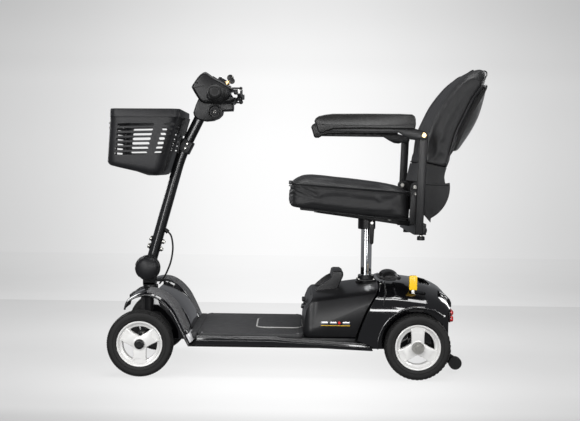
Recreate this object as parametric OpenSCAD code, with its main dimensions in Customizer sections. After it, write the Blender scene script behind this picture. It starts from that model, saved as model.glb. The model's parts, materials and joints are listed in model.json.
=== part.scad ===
/* [Wheels] */
// Distance between front and rear axles
wheelbase = 837; // [800:1:880]
// Outer diameter of the solid tyres
tyre_d = 200; // [180:1:220]
// Width of the solid tyres
tyre_w = 50; // [40:1:60]
// Distance between the left and right wheel centre planes
track = 444; // [420:1:460]
// Front axle position along the scooter
front_axle_x = -468; // [-480:1:-456]

/* [Steering] */
// Kingpin distance from the centre plane
kingpin_y = 165; // [160:1:170]
// Length of the steering arms, from steering axis to tie rod pin
arm_len = 45; // [40:1:50]
// Height of the tiller tilt pivot
pivot_z = 311; // [300:1:320]
// Tiller tube diameter
tiller_d = 34; // [30:1:36]

/* [Seat] */
// Seat post position along the scooter
post_x = 227; // [220:1:235]
// Seat post diameter
post_d = 35; // [30:1:40]
// Half width of the seat cushion
seat_hw = 215; // [190:1:220]
// Half width of the backrest
back_hw = 195; // [170:1:200]
// Backrest hinge height
hinge_z = 581; // [570:1:590]

/* [Body] */
// Half width of the floor mat
mat_hw = 214; // [200:1:216]
// Half width of the rear shroud
shroud_hw = 245; // [235:1:250]
// Half width of the battery pack
pack_hw = 205; // [190:1:210]
// Half width of the basket
basket_hw = 170; // [150:1:180]
// Running fit between turning parts, on the radius
fit = 0.05; // [0.02:0.01:0.1]

/* [Hidden] */
$fn = 48;
fx = front_axle_x;
rx = fx + wheelbase;
hz = tyre_d / 2;
tr = tyre_d / 2;
wy = track / 2;
rim_r = 69;
kr = 6;
px = -471;
pr = post_d / 2;
hx = 358;
arm_px = 373;
arm_pz = 736;
bend = [-374, 669];
top = [-314, 792];
lean1 = atan2(bend[0] - px, bend[1] - pivot_z);
lean2 = atan2(top[0] - bend[0], top[1] - bend[1]);
u1 = [sin(lean1), cos(lean1)];
u2 = [sin(lean2), cos(lean2)];
dash = [-205, 881];
dash_a = atan2(50, 85);
bar_x = -249;
bar_z = 858;

// cylinder along Y from y0 to y1
module ycyl(x, z, r, y0, y1) {
  translate([x, y0, z]) rotate([-90, 0, 0]) cylinder(r = r, h = y1 - y0);
}
// side profile swept across Y from y0 to y1
module prof(y0, y1, pts) {
  translate([0, y1, 0]) rotate([90, 0, 0]) linear_extrude(height = y1 - y0) polygon(pts);
}
// rod between two points of the side view
module rod(a, b, r, y = 0) {
  translate([a[0], y, a[1]]) rotate([0, atan2(b[0] - a[0], b[1] - a[1]), 0])
    cylinder(r = r, h = norm(b - a));
}
module box(a, b) { translate(a) cube(b - a); }
// rectangle with round corners
module rrect(a, b, r) {
  translate([a[0] + r, a[1]]) square([b[0] - a[0] - 2 * r, b[1] - a[1]]);
  translate([a[0], a[1] + r]) square([b[0] - a[0], b[1] - a[1] - 2 * r]);
  for (x = [a[0] + r, b[0] - r], y = [a[1] + r, b[1] - r]) translate([x, y]) circle(r = r);
}
module ring(x, z, r0, r1, y0, y1) {
  difference() {
    ycyl(x, z, r1, y0, y1);
    ycyl(x, z, r0, y0 - 1, y1 + 1);
  }
}
// slab in the YZ plane
module yz(x0, x1) { translate([x0, 0, 0]) rotate([90, 0, 90]) linear_extrude(height = x1 - x0) children(); }
module left() { children(); }
module right() { mirror([0, 1, 0]) children(); }
// place on the sloping dash, u up the slope from its rear edge
module on_dash(u, y) {
  translate([dash[0] - u * cos(dash_a), y, dash[1] + u * sin(dash_a)]) rotate([0, dash_a, 0]) children();
}
// underside line of the seat cushion
function seat_z(x) = 516 - (x + 26) * 36 / 376;

module main_frame() color("DimGray") {
  difference() {
    union() {
      translate([fx, 0, 146]) cylinder(r = 20, h = 94);
      box([fx - 30, -10, 86], [fx - 16, 10, 240]);
      box([fx - 30, -51, 224], [fx - 24.4, 51, 240]);
      box([fx - 22, -144, 85], [fx + 16, 144, 115]);
      for (s = [-1, 1], z = [80, 112])
        translate([fx - 16, s < 0 ? -180 : 140, z]) cube([32, 40, 8]);
      rod([-455, 205], [-325, 84], 16);
      box([-336, -105, 70], [-300, 105, 94]);
      box([-300, -105, 70], [-280, 105, 97]);
      for (s = [-1, 1]) translate([-310, s < 0 ? -105 : 75, 70]) cube([655, 30, 27]);
      box([200, -90, 70], [254, 90, 97]);
      box([300, -90, 70], [320, 90, 97]);
      translate([post_x, 0, 75]) cylinder(r = 22, h = 199);
      for (s = [-1, 1]) translate([300, s < 0 ? -102 : 78, 90]) cube([12, 24, 140]);
      box([285, -102, 228], [375, 102, 232]);
    }
    translate([fx, 0, 140]) cylinder(r = 14 + fit, h = 110);
    for (s = [-1, 1]) translate([fx, s * kingpin_y, 70]) cylinder(r = kr + fit, h = 60);
    translate([post_x, 0, 95]) cylinder(r = pr + fit, h = 190);
    for (s = [-1, 1]) translate([-276, s < 0 ? -102.5 : 77.5, 72.5]) cube([640, 25, 22]);
  }
}

module kingpins() color("Silver") {
  for (s = [-1, 1]) translate([fx, s * kingpin_y, 0]) {
    translate([0, 0, 75]) cylinder(r = kr, h = 50);
    translate([0, 0, 120]) cylinder(r = 9, h = 5);
    translate([0, 0, 74]) cylinder(r = 9, h = 6, $fn = 6);
  }
}

module deck_pan() color("Black") {
  difference() {
    prof(-206, 206, [[-300, 97], [203, 97], [203, 106.1], [184, 118.5], [184, 119], [-300, 119]]);
    box([-290, -70, 90], [170, 70, 113]);
    box([-290, 110, 90], [170, 200, 113]);
    box([-290, -200, 90], [170, -110, 113]);
  }
  for (y = [-228, 206])
    prof(y, y + 22, [[-300, 97], [-68, 97], [237, 83.3], [228, 101.5], [-68, 120], [-300, 120]]);
}

module deck_mat() color("DarkSlateGray") {
  translate([0, 0, 119]) linear_extrude(height = 12) rrect([-298, -mat_hw + 9], [24.5, mat_hw - 9], 14);
  translate([0, 0, 131]) linear_extrude(height = 3) rrect([-124, -100], [20, 100], 30);
}

// outer edge of the front fender and its crown, from the rear lower end over to the nose
fender_edge = [[-319, 95], [-330, 115], [-345, 144], [-359, 173], [-373, 198], [-390, 218.5],
  [-407, 233], [-426, 243], [-449, 247.5], [-474, 244], [-494, 236], [-508, 224], [-514, 212], [-516, 202]];
fender_crown = [10, 13, 15, 15, 15, 14.5, 14, 13, 11, 8, 5, 4, 3, 1];
function fender_n(i) = let (n = len(fender_edge) - 1,
  d = fender_edge[min(n, i + 1)] - fender_edge[max(0, i - 1)], u = d / norm(d)) [u[1], -u[0]];
function fender_off(k, w, a = 0) = [for (i = [a : len(fender_edge) - 1])
  fender_edge[i] + fender_n(i) * (k * fender_crown[i] + w)];
function back_of(v) = [for (i = [len(v) - 1 : -1 : 0]) v[i]];

module front_fenders() color("Black") {
  for (s = [0, 1]) mirror([0, s, 0]) {
    prof(-235, -114, concat(fender_off(0, 1.5), back_of(fender_off(0, -2.5))));
    prof(-229, -120, concat(fender_off(0.6, 1), back_of(fender_off(0, -1))));
    prof(-216, -133, concat(fender_off(1, 1), back_of(fender_off(0, -0.5))));
    prof(-120, -114, [[-446, 128], [-405, 128], [-405, 96], [-336, 96], [-345, 140], [-362, 176],
      [-392, 214], [-425, 240], [-446, 245]]);
  }
  intersection() {
    ring(fx, hz, 142, 148, -115, 115);
    box([-436, -120, 110], [-300, 120, 280]);
  }
}

module front_lift_handle() color("Silver") {
  for (y = [-50, 40]) prof(y, y + 10, [[fx - 30, 240], [fx - 30, 226], [-519, 211], [-531, 213], [-531, 225],
    [-512, 240]]);
  ycyl(-524, 218, 7, -50, 50);
}

shroud_side = [[186, 118], [190, 135], [199, 160], [211, 190], [226, 220], [244, 250], [260, 273],
  [273, 288], [300, 289], [340, 286], [400, 279], [440, 269], [462, 258], [470, 246], [470, 219],
  [446, 192], [446, 100], [420, 85], [262, 85], [229, 103]];
shroud_in = [[194, 125], [197, 136], [205, 160], [217, 188], [232, 218], [249, 246], [265, 268],
  [277, 283], [300, 284], [340, 281], [400, 274], [438, 264], [458, 254], [465, 244]];

// crowned cross section of the shroud, its top centre at height z and its side at half width w
function crown_sec(z, w) = [[-w, 60], [-w, z - 84], [-w + 7, z - 60], [-w + 24, z - 41], [-w + 49, z - 25],
  [-w + 89, z - 12], [-w + 139, z - 4], [0, z], [w - 139, z - 4], [w - 89, z - 12], [w - 49, z - 25],
  [w - 24, z - 41], [w - 7, z - 60], [w, z - 84], [w, 60]];
module crown(d) {
  hull() {
    yz(170, 171) polygon(crown_sec(291 - d, shroud_hw - d));
    yz(300, 301) polygon(crown_sec(291 - d, shroud_hw - d));
    yz(470, 480) polygon(crown_sec(262 - d, shroud_hw - d));
  }
}

module rear_shroud() color("Black") {
  intersection() {
    crown(0);
    difference() {
      union() {
        prof(-shroud_hw, shroud_hw, shroud_side);
        prof(-178, 178, [[440, 266], [466, 255], [474, 246], [478, 236], [478, 216], [470, 210],
          [470, 125], [440, 125]]);
      }
      for (s = [0, 1]) mirror([0, s, 0]) {
        ycyl(rx, hz, 120, 186, 250);
        ycyl(rx, hz, 30, 170, 190);
        intersection() {
          crown(6);
          difference() {
            prof(170, 240, concat(shroud_in, [[465, 222], [444, 197], [rx, 125]]));
            ycyl(rx, hz, 125, 169, 241);
          }
        }
      }
      intersection() {
        crown(6);
        prof(-173, 173, concat([[243, 80], [230, 100], [193, 121]], shroud_in,
          [[466, 238], [466, 80]]));
      }
      box([180, -112, 60], [350, 112, 97]);
      box([180, -32, 90], [260, 32, 300]);
      box([347, -199, 240], [393, -181, 300]);
      ycyl(357, 252, 4 + fit, -200, -174);
    }
  }
  difference() {
    box([348, -180, 243], [366, -175, 264]);
    ycyl(357, 252, 4 + fit, -181, -174);
  }
}

module shroud_handle() color("Black") {
  intersection() {
    difference() {
      ycyl(300, 276, 34, -62, 62);
      box([260, -48, 280], [340, 48, 301]);
    }
    box([260, -70, 289], [340, 70, 320]);
  }
}

module tail_lights() color("Red") {
  for (s = [0, 1]) mirror([0, s, 0]) yz(470, 485) rrect([112, 167], [172, 206], 10);
}

module transaxle() color("Gray") {
  difference() {
    union() {
      ycyl(rx, hz, 45, -60, 60);
      ycyl(rx, hz, 18, -183, 183);
      for (s = [-1, 1]) translate([345, s < 0 ? -105 : 75, 72]) cube([48, 30, 28]);
      ycyl(394, 168, 40, -22, 130);
      prof(-58, -22, [[330, 85], [410, 82], [432, 150], [430, 190], [395, 212], [358, 200], [345, 165]]);
    }
    for (s = [0, 1]) mirror([0, s, 0]) ycyl(rx, hz, 8 + fit, 30, 190);
  }
}

module anti_tip_frame() color("DimGray") {
  difference() {
    union() {
      for (y = [-96, 84]) prof(y, y + 12, [[393, 98], [430, 96], [512, 42], [515, 30], [512, 20],
        [494, 18], [420, 74], [393, 74]]);
      ycyl(425, 84, 8, -84, 84);
    }
    ycyl(503, 30, 4 + fit, -100, 100);
  }
}

module post_collar() color("Black") {
  difference() {
    union() {
      box([197, -30, 274], [258, 30, 280]);
      translate([post_x, 0, 280]) cylinder(r = 26, h = 14);
    }
    translate([post_x, 0, 270]) cylinder(r = pr + fit, h = 30);
  }
}

module controller_box() color("Silver") {
  box([290, -70, 232], [365, 70, 256]);
  for (y = [-64 : 12 : 56]) translate([292, y, 256]) cube([70, 4, 12]);
}

module steering_stem() color("DimGray") {
  difference() {
    union() {
      translate([fx, 0, 118]) cylinder(r = 14, h = 130);
      translate([fx, 0, 240.5]) cylinder(r = 24, h = 12);
      box([-490, -26, 252], [-451, 26, 262]);
      for (y = [-26, 20]) {
        box([-490, y, 255], [-451, y + 6, pivot_z]);
        ycyl(px + 0.5, pivot_z, 19.5, y, y + 6);
      }
      box([fx, -9, 120.5], [fx + arm_len, 9, 128.5]);
      translate([fx + arm_len, 0, 120.5]) cylinder(r = 10, h = 8);
    }
    translate([fx + arm_len, 0, 110]) cylinder(r = 4 + fit, h = 30);
    ycyl(px, pivot_z, kr + fit, -30, 30);
  }
}

// control cable: hand chosen round points of its run in the centre plane
cable_pts = [[-418, 426], [-405, 413], [-399, 390], [-398, 362], [-404, 326], [-415, 296],
  [-425, 276], [-434, 262], [-440, 254]];
cable_sides = 10;
function cable_dir(i) = let (n = len(cable_pts) - 1,
  d = cable_pts[min(n, i + 1)] - cable_pts[max(0, i - 1)]) d / norm(d);
cable_ring = [for (i = [0 : len(cable_pts) - 1], k = [0 : cable_sides - 1])
  let (a = k * 360 / cable_sides, p = cable_pts[i], d = cable_dir(i))
  [p[0] + 3 * cos(a) * d[1], 3 * sin(a), p[1] - 3 * cos(a) * d[0]]];
cable_last = (len(cable_pts) - 1) * cable_sides;

module tiller_cable() color("Black") {
  polyhedron(points = cable_ring, faces = concat(
    [[for (k = [0 : cable_sides - 1]) k]],
    [for (i = [0 : len(cable_pts) - 2], k = [0 : cable_sides - 1])
      let (a = i * cable_sides, n = (k + 1) % cable_sides)
      [a + k, a + cable_sides + k, a + cable_sides + n, a + n]],
    [[for (k = [cable_sides - 1 : -1 : 0]) cable_last + k]]));
}

module tiller_tube() color("Silver") {
  r = tiller_d / 2;
  difference() {
    union() {
      rod([px, pivot_z], bend, r);
      translate([bend[0], 0, bend[1]]) sphere(r = r + 0.8);
      rod(bend, top + 40 * u2, r);
      ycyl(px, pivot_z, r - 1, -19, 19);
    }
    rod([px, pivot_z] + 30 * u1, bend - 14 * u1, r - 3);
    rod(bend + 14 * u2, top + 50 * u2, r - 3);
    ycyl(px, pivot_z, kr + fit, -30, 30);
    for (z = [372, 396]) translate([px + (z - pivot_z) * tan(lean1), 0, z])
      rotate([0, lean1 + 90, 0]) cylinder(r = 4 + fit, h = 80, center = true);
  }
}

module pivot_bolt() color("Silver") {
  ycyl(px, pivot_z, kr, -60, 32);
  translate([px, 26, pivot_z]) rotate([-90, 0, 0]) cylinder(r = 10, h = 7, $fn = 6);
}

module tiller_bolts() color("Silver") {
  for (z = [372, 396]) translate([px + (z - pivot_z) * tan(lean1), 0, z]) rotate([0, lean1 + 90, 0]) {
    cylinder(r = 4, h = 54, center = true);
    translate([0, 0, -25]) cylinder(r = 8, h = 8);
    translate([0, 0, 17.2]) cylinder(r = 7.5, h = 7, $fn = 6);
  }
}

module console_housing() color("Black") {
  difference() {
    union() {
      prof(-75, 75, [[-336, 883], [-332, 892], [-318, 914], [-297, 931], [-290, 932], [-275, 922.2],
        dash, [-195, 870], [-198, 842], [-215, 834], [-300, 834], [-314, 848]]);
      prof(-26, 26, [[-335, 800], [-326, 785], [-292, 778], [-262, 784], [-240, 800], [-238, 811],
        [-206, 812], [-200, 840], [-316, 858]]);
      box([-206, -8, 884], [-184, 8, 890]);
      translate([-184, 0, 884]) cylinder(r = 8, h = 6);
      box([-206, -8, 838], [-184, 8, 844]);
      translate([-184, 0, 838]) cylinder(r = 8, h = 6);
    }
    rod(bend, top + 40 * u2, tiller_d / 2 + fit);
    ycyl(bar_x, bar_z, 11 + fit, -80, 80);
    translate([-184, 0, 830]) cylinder(r = 3 + fit, h = 70);
    box([-217, -80, 852], [-192.5, 80, 877]);
    on_dash(26, -42) translate([0, 0, -12]) cylinder(r = 5 + fit, h = 40);
    on_dash(48, 6) translate([0, 0, -12]) cylinder(r = 5 + fit, h = 40);
    on_dash(26, 42) translate([0, 0, -12]) cylinder(r = 4 + fit, h = 40);
  }
}

module handlebar() color("Silver") {
  difference() {
    ycyl(bar_x, bar_z, 11, -238, 238);
    ycyl(bar_x, bar_z, 9, -239, 239);
  }
}

module handgrips() color("Black") {
  for (s = [0, 1]) mirror([0, s, 0]) translate([bar_x, 0, bar_z]) rotate([-90, 0, 0])
    rotate_extrude() polygon([[11 + fit, 78], [28, 78], [28, 86], [20, 94], [20, 112], [22, 150],
      [21, 200], [22, 236], [19, 245], [8, 248], [0, 248], [0, 238.5], [11 + fit, 238.5]]);
}

module charger_port() color("Black") {
  difference() {
    ycyl(-263, 808, 23, -60, -26);
    ycyl(-263, 808, 16, -61, -50);
  }
  ring(-263, 808, 7, 11, -58, -49);
}

module basket_bracket() color("Black") {
  c = [-359, 700];
  difference() {
    translate([c[0], 0, c[1]]) rotate([0, lean2, 0]) union() {
      translate([-26, -24, -24]) cube([48, 48, 46]);
    }
    rod(bend - 10 * u2, top, tiller_d / 2 + fit);
    prof(-40, 40, [[-500, 600], [-418.5, 600], [-371, 810], [-500, 810]]);
  }
}

module tiller_knob() color("Black") {
  difference() {
    translate([px, 0, pivot_z]) rotate([90, 0, 0]) rotate_extrude()
      polygon([[0, 27], [16, 27], [18, 34], [36, 38], [40, 44], [40, 58], [36, 67], [26, 74], [0, 78]]);
    ycyl(px, pivot_z, kr + fit, -61, -20);
  }
}

basket_side = [[-573, 806], [-345, 810], [-394, 600], [-400, 596], [-570, 626], [-584, 640]];

module basket() color("Black") {
  translate([-7, 0, 0]) difference() {
    union() {
      prof(-basket_hw + 8, basket_hw - 8, [[-572, 800], [-355, 806], [-409, 604], [-566, 628], [-578, 642]]);
      prof(-basket_hw, basket_hw, [[-574, 808], [-353.5, 810], [-359.5, 786], [-578, 784]]);
      prof(-30, 30, [[-357, 790], [-363, 764], [-371, 764], [-364, 790]]);
    }
    prof(-basket_hw + 12, basket_hw - 12,
      [[-568, 820], [-353, 820], [-363, 800], [-412, 609], [-564, 632], [-574, 644]]);
    for (i = [0 : 6]) {
      z = 764 - 14.6 * i;
      prof(-180, 180, [[-554 - i, z], [-440 - 3.4 * i, z], [-440 - 3.4 * i, z - 6], [-554 - i, z - 6]]);
      prof(-180, 180, [[-414 - 4.6 * i, z], [-382 - 4.2 * i, z], [-382 - 4.2 * i, z - 6],
        [-414 - 4.6 * i, z - 6]]);
      if (i > 0) for (y = [-140, 50]) translate([-600, y, z - 6]) cube([60, 90, 6]);
    }
  }
}

module throttle_lever() color("Black") {
  translate([0, 0, 856]) linear_extrude(height = 17) polygon([[-190, 0], [-190, 60], [-186, 112],
    [-182, 117], [-176, 112], [-178, 60], [-179, 0], [-178, -60], [-176, -112], [-182, -117],
    [-186, -112], [-190, -60]]);
  translate([-184, 0, 845]) cylinder(r = 8, h = 38);
  translate([-184, 0, 837]) cylinder(r = 3, h = 54);
}

module key_set() color("Gold") {
  on_dash(26, -42) {
    translate([0, 0, -10]) cylinder(r = 5, h = 14);
    translate([0, 0, 3]) cylinder(r = 8, h = 6);
    translate([-9, -1.2, 8]) cube([18, 2.4, 24]);
  }
}

module speed_dial() color("Black") {
  on_dash(48, 6) {
    translate([0, 0, -10]) cylinder(r = 5, h = 12);
    translate([0, 0, 0.4]) cylinder(r1 = 16, r2 = 13, h = 13);
  }
}

module horn_button() color("Gray") {
  on_dash(26, 42) {
    translate([0, 0, -9]) cylinder(r = 4, h = 13);
    translate([0, 0, 3]) cylinder(r = 9, h = 5);
  }
}

module tie_rod() color("Silver") {
  x = fx + arm_len;
  box([x - 7, -kingpin_y, 111], [x + 7, kingpin_y, 119]);
  for (s = [-1, 1]) translate([x, s * kingpin_y, 0]) {
    translate([0, 0, 92]) cylinder(r = 4, h = 20);
    translate([0, 0, 111]) cylinder(r = 9, h = 8);
  }
  translate([x, 0, 118]) cylinder(r = 4, h = 13);
}

module knuckle() {
  difference() {
    union() {
      translate([fx, -kingpin_y, 88.3]) cylinder(r = 13.5, h = 23.4);
      ycyl(fx, hz, 9, -196.6, -172);
      ycyl(fx, hz, kr, -248, -172);
      translate([fx, -248, hz]) rotate([-90, 0, 0]) translate([0, 0, -3]) cylinder(r = 8, h = 3.8, $fn = 6);
      box([fx, -kingpin_y - 8, 94], [fx + arm_len, -kingpin_y + 8, 110]);
      translate([fx + arm_len, -kingpin_y, 94]) cylinder(r = 10, h = 16);
    }
    translate([fx, -kingpin_y, 60]) cylinder(r = kr + fit, h = 80);
    translate([fx + arm_len, -kingpin_y, 80]) cylinder(r = 4 + fit, h = 40);
  }
}
module knuckle_left() color("DimGray") knuckle();
module knuckle_right() color("DimGray") right() knuckle();

module tyre(x) {
  translate([x, -wy, hz]) rotate([90, 0, 0]) rotate_extrude() polygon([[rim_r, -22], [90, -tyre_w / 2],
    [97, -21], [tr, -13], [tr, 13], [97, 21], [90, tyre_w / 2], [rim_r, 22]]);
}
module rim(x, bore, turn) {
  translate([x, -wy, hz]) rotate([90, 0, 0]) difference() {
    union() {
      difference() {
        rotate_extrude() polygon([[60, -21], [rim_r - 0.05, -21], [rim_r - 0.05, 21], [60, 21]]);
      }
      translate([0, 0, -25]) cylinder(r = 20, h = 50);
      for (a = [turn, turn + 120, turn + 240]) rotate([0, 0, a]) translate([10, -13, -10]) cube([53, 26, 24]);
    }
    translate([0, 0, -30]) cylinder(r = bore, h = 60);
  }
}
module tyre_front_left() color("DimGray") tyre(fx);
module tyre_front_right() color("DimGray") right() tyre(fx);
module tyre_rear_left() color("DimGray") tyre(rx);
module tyre_rear_right() color("DimGray") right() tyre(rx);
module rim_front_left() color("White") rim(fx, kr + fit, 30);
module rim_front_right() color("White") right() rim(fx, kr + fit, 30);
module rim_rear_left() color("White") rim(rx, 8 + fit, 90);
module rim_rear_right() color("White") right() rim(rx, 8 + fit, 90);

module hub_cap() {
  difference() {
    union() {
      ycyl(fx, hz, 14, -253, -247.1);
      ycyl(fx, hz, 11, -255, -253);
    }
    ycyl(fx, hz, 10, -252, -246);
  }
}
module hub_cap_left() color("Black") hub_cap();
module hub_cap_right() color("Black") right() hub_cap();

module axle() {
  ycyl(rx, hz, 8, -253, -35);
  ycyl(rx, hz, 18, -253, -247.1);
  translate([rx, -257, hz]) rotate([-90, 0, 0]) cylinder(r = 9, h = 5, $fn = 6);
}
module axle_left() color("Silver") axle();
module axle_right() color("Silver") right() axle();

module seat_post() color("Silver") {
  translate([post_x, 0, 100]) cylinder(r = pr, h = 360);
}

module seat_base() color("Black") {
  difference() {
    union() {
      translate([post_x, 0, 441]) cylinder(r = 28, h = 45);
      prof(-150, 150, [[10, seat_z(10) - 7], [335, seat_z(335) - 7], [335, seat_z(335)], [10, seat_z(10)]]);
      for (y = [-60, 50]) prof(y, y + 10, [[60, 500], [300, 480], [356, 476], [356, 455], [262, 468],
        [60, 494]]);
      box([356, -205, 437], [392, 205, 470]);
      for (y = [-176, 168]) {
        box([346, y, 465], [370, y + 8, hinge_z]);
        ycyl(hx, hinge_z, 12, y, y + 8);
      }
      ycyl(hx, hinge_z, kr, -190, -170);
      ycyl(hx, hinge_z, kr, 170, 190);
      for (y = [-190, 190]) translate([378, y, 420]) cylinder(r = 12, h = 18);
      prof(-36, -26, [[138, 494], [148, 462], [164, 462], [172, 492]]);
    }
    translate([post_x, 0, 430]) cylinder(r = pr + fit, h = 31);
    box([361.7, -220, 441.7], [386.3, 220, 464.3]);
    ycyl(241, 462, 3 + fit, -40, -10);
  }
}

module seat_cushion() color("DimGray") {
  prof(-seat_hw, seat_hw, [[-16, seat_z(-16)], [343, seat_z(343)], [344, 556], [334, 566], [0, 588],
    [-18, 582], [-26, 562], [-25, 530]]);
  prof(-seat_hw + 26, seat_hw - 26, [[2, 587], [326, 565], [312, 580], [240, 595], [120, 608], [40, 612],
    [14, 603]]);
}

module swivel_lever() color("Black") {
  difference() {
    prof(-36, -30, [[233, 470], [249, 470], [249, 450], [246, 398], [241, 393], [235, 398], [233, 450]]);
    ycyl(241, 462, 2, -40, -35.5);
  }
  ycyl(241, 462, 3, -31, -18);
}

module back_shell() color("Black") {
  intersection() {
    ring(hx, hinge_z, 98, 107, -190, 190);
    prof(-191, 191, [[hx, hinge_z], [397, 485], [407, 470], [480, 470], [480, 596], [hx + 20, 588]]);
  }
  for (y = [-188, 180]) difference() {
    union() {
      intersection() {
        ycyl(hx, hinge_z, 107, y, y + 8);
        prof(y, y + 8, [[hx + 6, hinge_z - 13], [397, 485], [407, 470], [480, 470], [480, 596],
          [hx + 6, 596]]);
      }
      ycyl(hx, hinge_z, 14, y, y + 8);
    }
    ycyl(hx, hinge_z, kr + fit, y - 1, y + 9);
  }
  difference() {
    prof(-184, 184, [[370, 598], [384, 656], [454, 641], [447, 612], [452, 586], [380, 586]]);
    prof(-178, 178, [[376, 580], [389, 649], [447, 636], [440, 612], [445, 580]]);
  }
}

module back_cushion() color("DimGray") {
  prof(-125, 125, [[381, 656.9], [394, 690], [404, 744], [422, 790], [450, 846], [488, 898],
    [520, 930], [548, 946], [562, 950], [575, 945], [583, 930], [572, 900], [537, 851], [487, 744],
    [473, 690], [458, 640.4]]);
  prof(-168, 168, [[381, 656.9], [393, 690], [401, 744], [417, 790], [442, 841], [478, 888],
    [508, 918], [534, 932], [552, 931], [563, 921], [556, 895], [526, 851], [482, 744], [469, 690],
    [457, 641]]);
  prof(-back_hw, back_hw, [[381, 656.9], [392, 690], [399, 744], [412, 786], [436, 832], [468, 874],
    [494, 898], [516, 908], [530, 905], [537, 893], [530, 870], [512, 836], [474, 744], [463, 690],
    [455, 641]]);
}

module back_pocket() color("Black") {
  prof(-110, 110, [[574.5, 896], [586, 902], [581, 868], [566, 806], [532, 742], [499, 692],
    [486, 694], [475, 697], [487.2, 744], [537.2, 851], [572.2, 896]]);
  prof(-150, 150, [[563, 886], [568, 885], [562, 855], [551, 812], [520, 756], [489, 693],
    [480, 695], [475, 697], [487.2, 744], [537.2, 851]]);
}

module armrest_post() {
  box([362, -252, 442], [386, -110, 464]);
  prof(-253, -237, [[351, 440], [377, 440], [386, 736], [361, 736]]);
  ycyl(arm_px + 0.5, arm_pz, 13, -253, -237);
  ycyl(arm_px, arm_pz, 5, -262, -228);
  ycyl(arm_px, arm_pz, 8, -264, -260.3);
  ycyl(arm_px, arm_pz, 8, -229.7, -226);
}
module armrest_post_left() color("DimGray") armrest_post();
module armrest_post_right() color("DimGray") right() armrest_post();

module armrest_arm() {
  difference() {
    union() {
      box([62, -258, 744], [342, -232, 757]);
      for (y = [-260, -236.3]) {
        prof(y, y + 6, [[296, 757], [342, 757], [arm_px, 750], [arm_px, 722], [336, 724], [300, 744]]);
        ycyl(arm_px, arm_pz, 14, y, y + 6);
      }
    }
    ycyl(arm_px, arm_pz, 5 + fit, -270, -220);
    box([350, -253.3, 700], [400, -236.7, 770]);
  }
}
module armrest_arm_left() color("DimGray") armrest_arm();
module armrest_arm_right() color("DimGray") right() armrest_arm();

module armrest_pad() {
  prof(-270, -220, [[56, 757], [345, 757], [348, 768], [346, 788], [336, 798], [102, 797], [60, 789],
    [48, 776]]);
  prof(-266, -224, [[53, 772], [54.5, 757.6], [59, 742], [64, 738.5], [76, 738.5], [80, 743.7],
    [61.7, 743.7], [61.7, 760]]);
}
module armrest_pad_left() color("Black") armrest_pad();
module armrest_pad_right() color("Black") right() armrest_pad();

pack_rear = [[258, 273], [242, 251], [224, 221], [209, 191], [197, 161], [188, 136], [183, 120]];

module battery_pack() color("Black") {
  difference() {
    union() {
      prof(-pack_hw, pack_hw, concat([[27, 119.4], [25, 132], [29, 180], [36, 210], [46, 229],
        [243, 253]], [for (i = [1 : 6]) pack_rear[i]], [[183, 119.4]]));
      prof(-pack_hw + 16, pack_hw - 16, concat([[46, 225], [50, 234], [70, 243], [130, 254], [200, 266],
        [240, 273], [258, 275]], pack_rear));
      for (y = [-70, 58]) prof(y, y + 12, [[48, 226], [70, 257], [101, 283], [116.8, 288.4],
        [118.3, 306.4], [147.4, 306.6], [149, 292.6], [131.5, 249]]);
      prof(-70.5, 70.5, [[115.5, 290], [117, 306], [124, 310], [144, 310], [151, 304], [150, 291]]);
    }
    box([194, -32, 100], [280, 32, 300]);
    box([24, -160, 131], [30, 160, 140]);
  }
}

module freewheel_lever() color("Gold") {
  prof(-196, -184, [[351, 252], [363, 252], [363, 288], [369, 294], [367, 308], [357, 312], [347, 308],
    [345, 294], [351, 288]]);
  ycyl(357, 252, 8, -196, -184);
  ycyl(357, 252, 4, -198, -176);
}

module anti_tip_wheels() color("DimGray") {
  ycyl(503, 30, 4, -116, 116);
  for (y = [-116, 98]) ycyl(503, 30, 20, y, y + 18);
}

main_frame();
kingpins();
deck_pan();
deck_mat();
front_fenders();
front_lift_handle();
rear_shroud();
shroud_handle();
tail_lights();
transaxle();
anti_tip_frame();
post_collar();
controller_box();
steering_stem();
tiller_cable();
tiller_tube();
pivot_bolt();
tiller_bolts();
console_housing();
handlebar();
handgrips();
charger_port();
basket_bracket();
tiller_knob();
basket();
throttle_lever();
key_set();
speed_dial();
horn_button();
tie_rod();
knuckle_left();
knuckle_right();
tyre_front_left();
tyre_front_right();
tyre_rear_left();
tyre_rear_right();
rim_front_left();
rim_front_right();
rim_rear_left();
rim_rear_right();
hub_cap_left();
hub_cap_right();
axle_left();
axle_right();
seat_post();
seat_base();
seat_cushion();
swivel_lever();
back_shell();
back_cushion();
back_pocket();
armrest_post_left();
armrest_post_right();
armrest_arm_left();
armrest_arm_right();
armrest_pad_left();
armrest_pad_right();
battery_pack();
freewheel_lever();
anti_tip_wheels();
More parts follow.
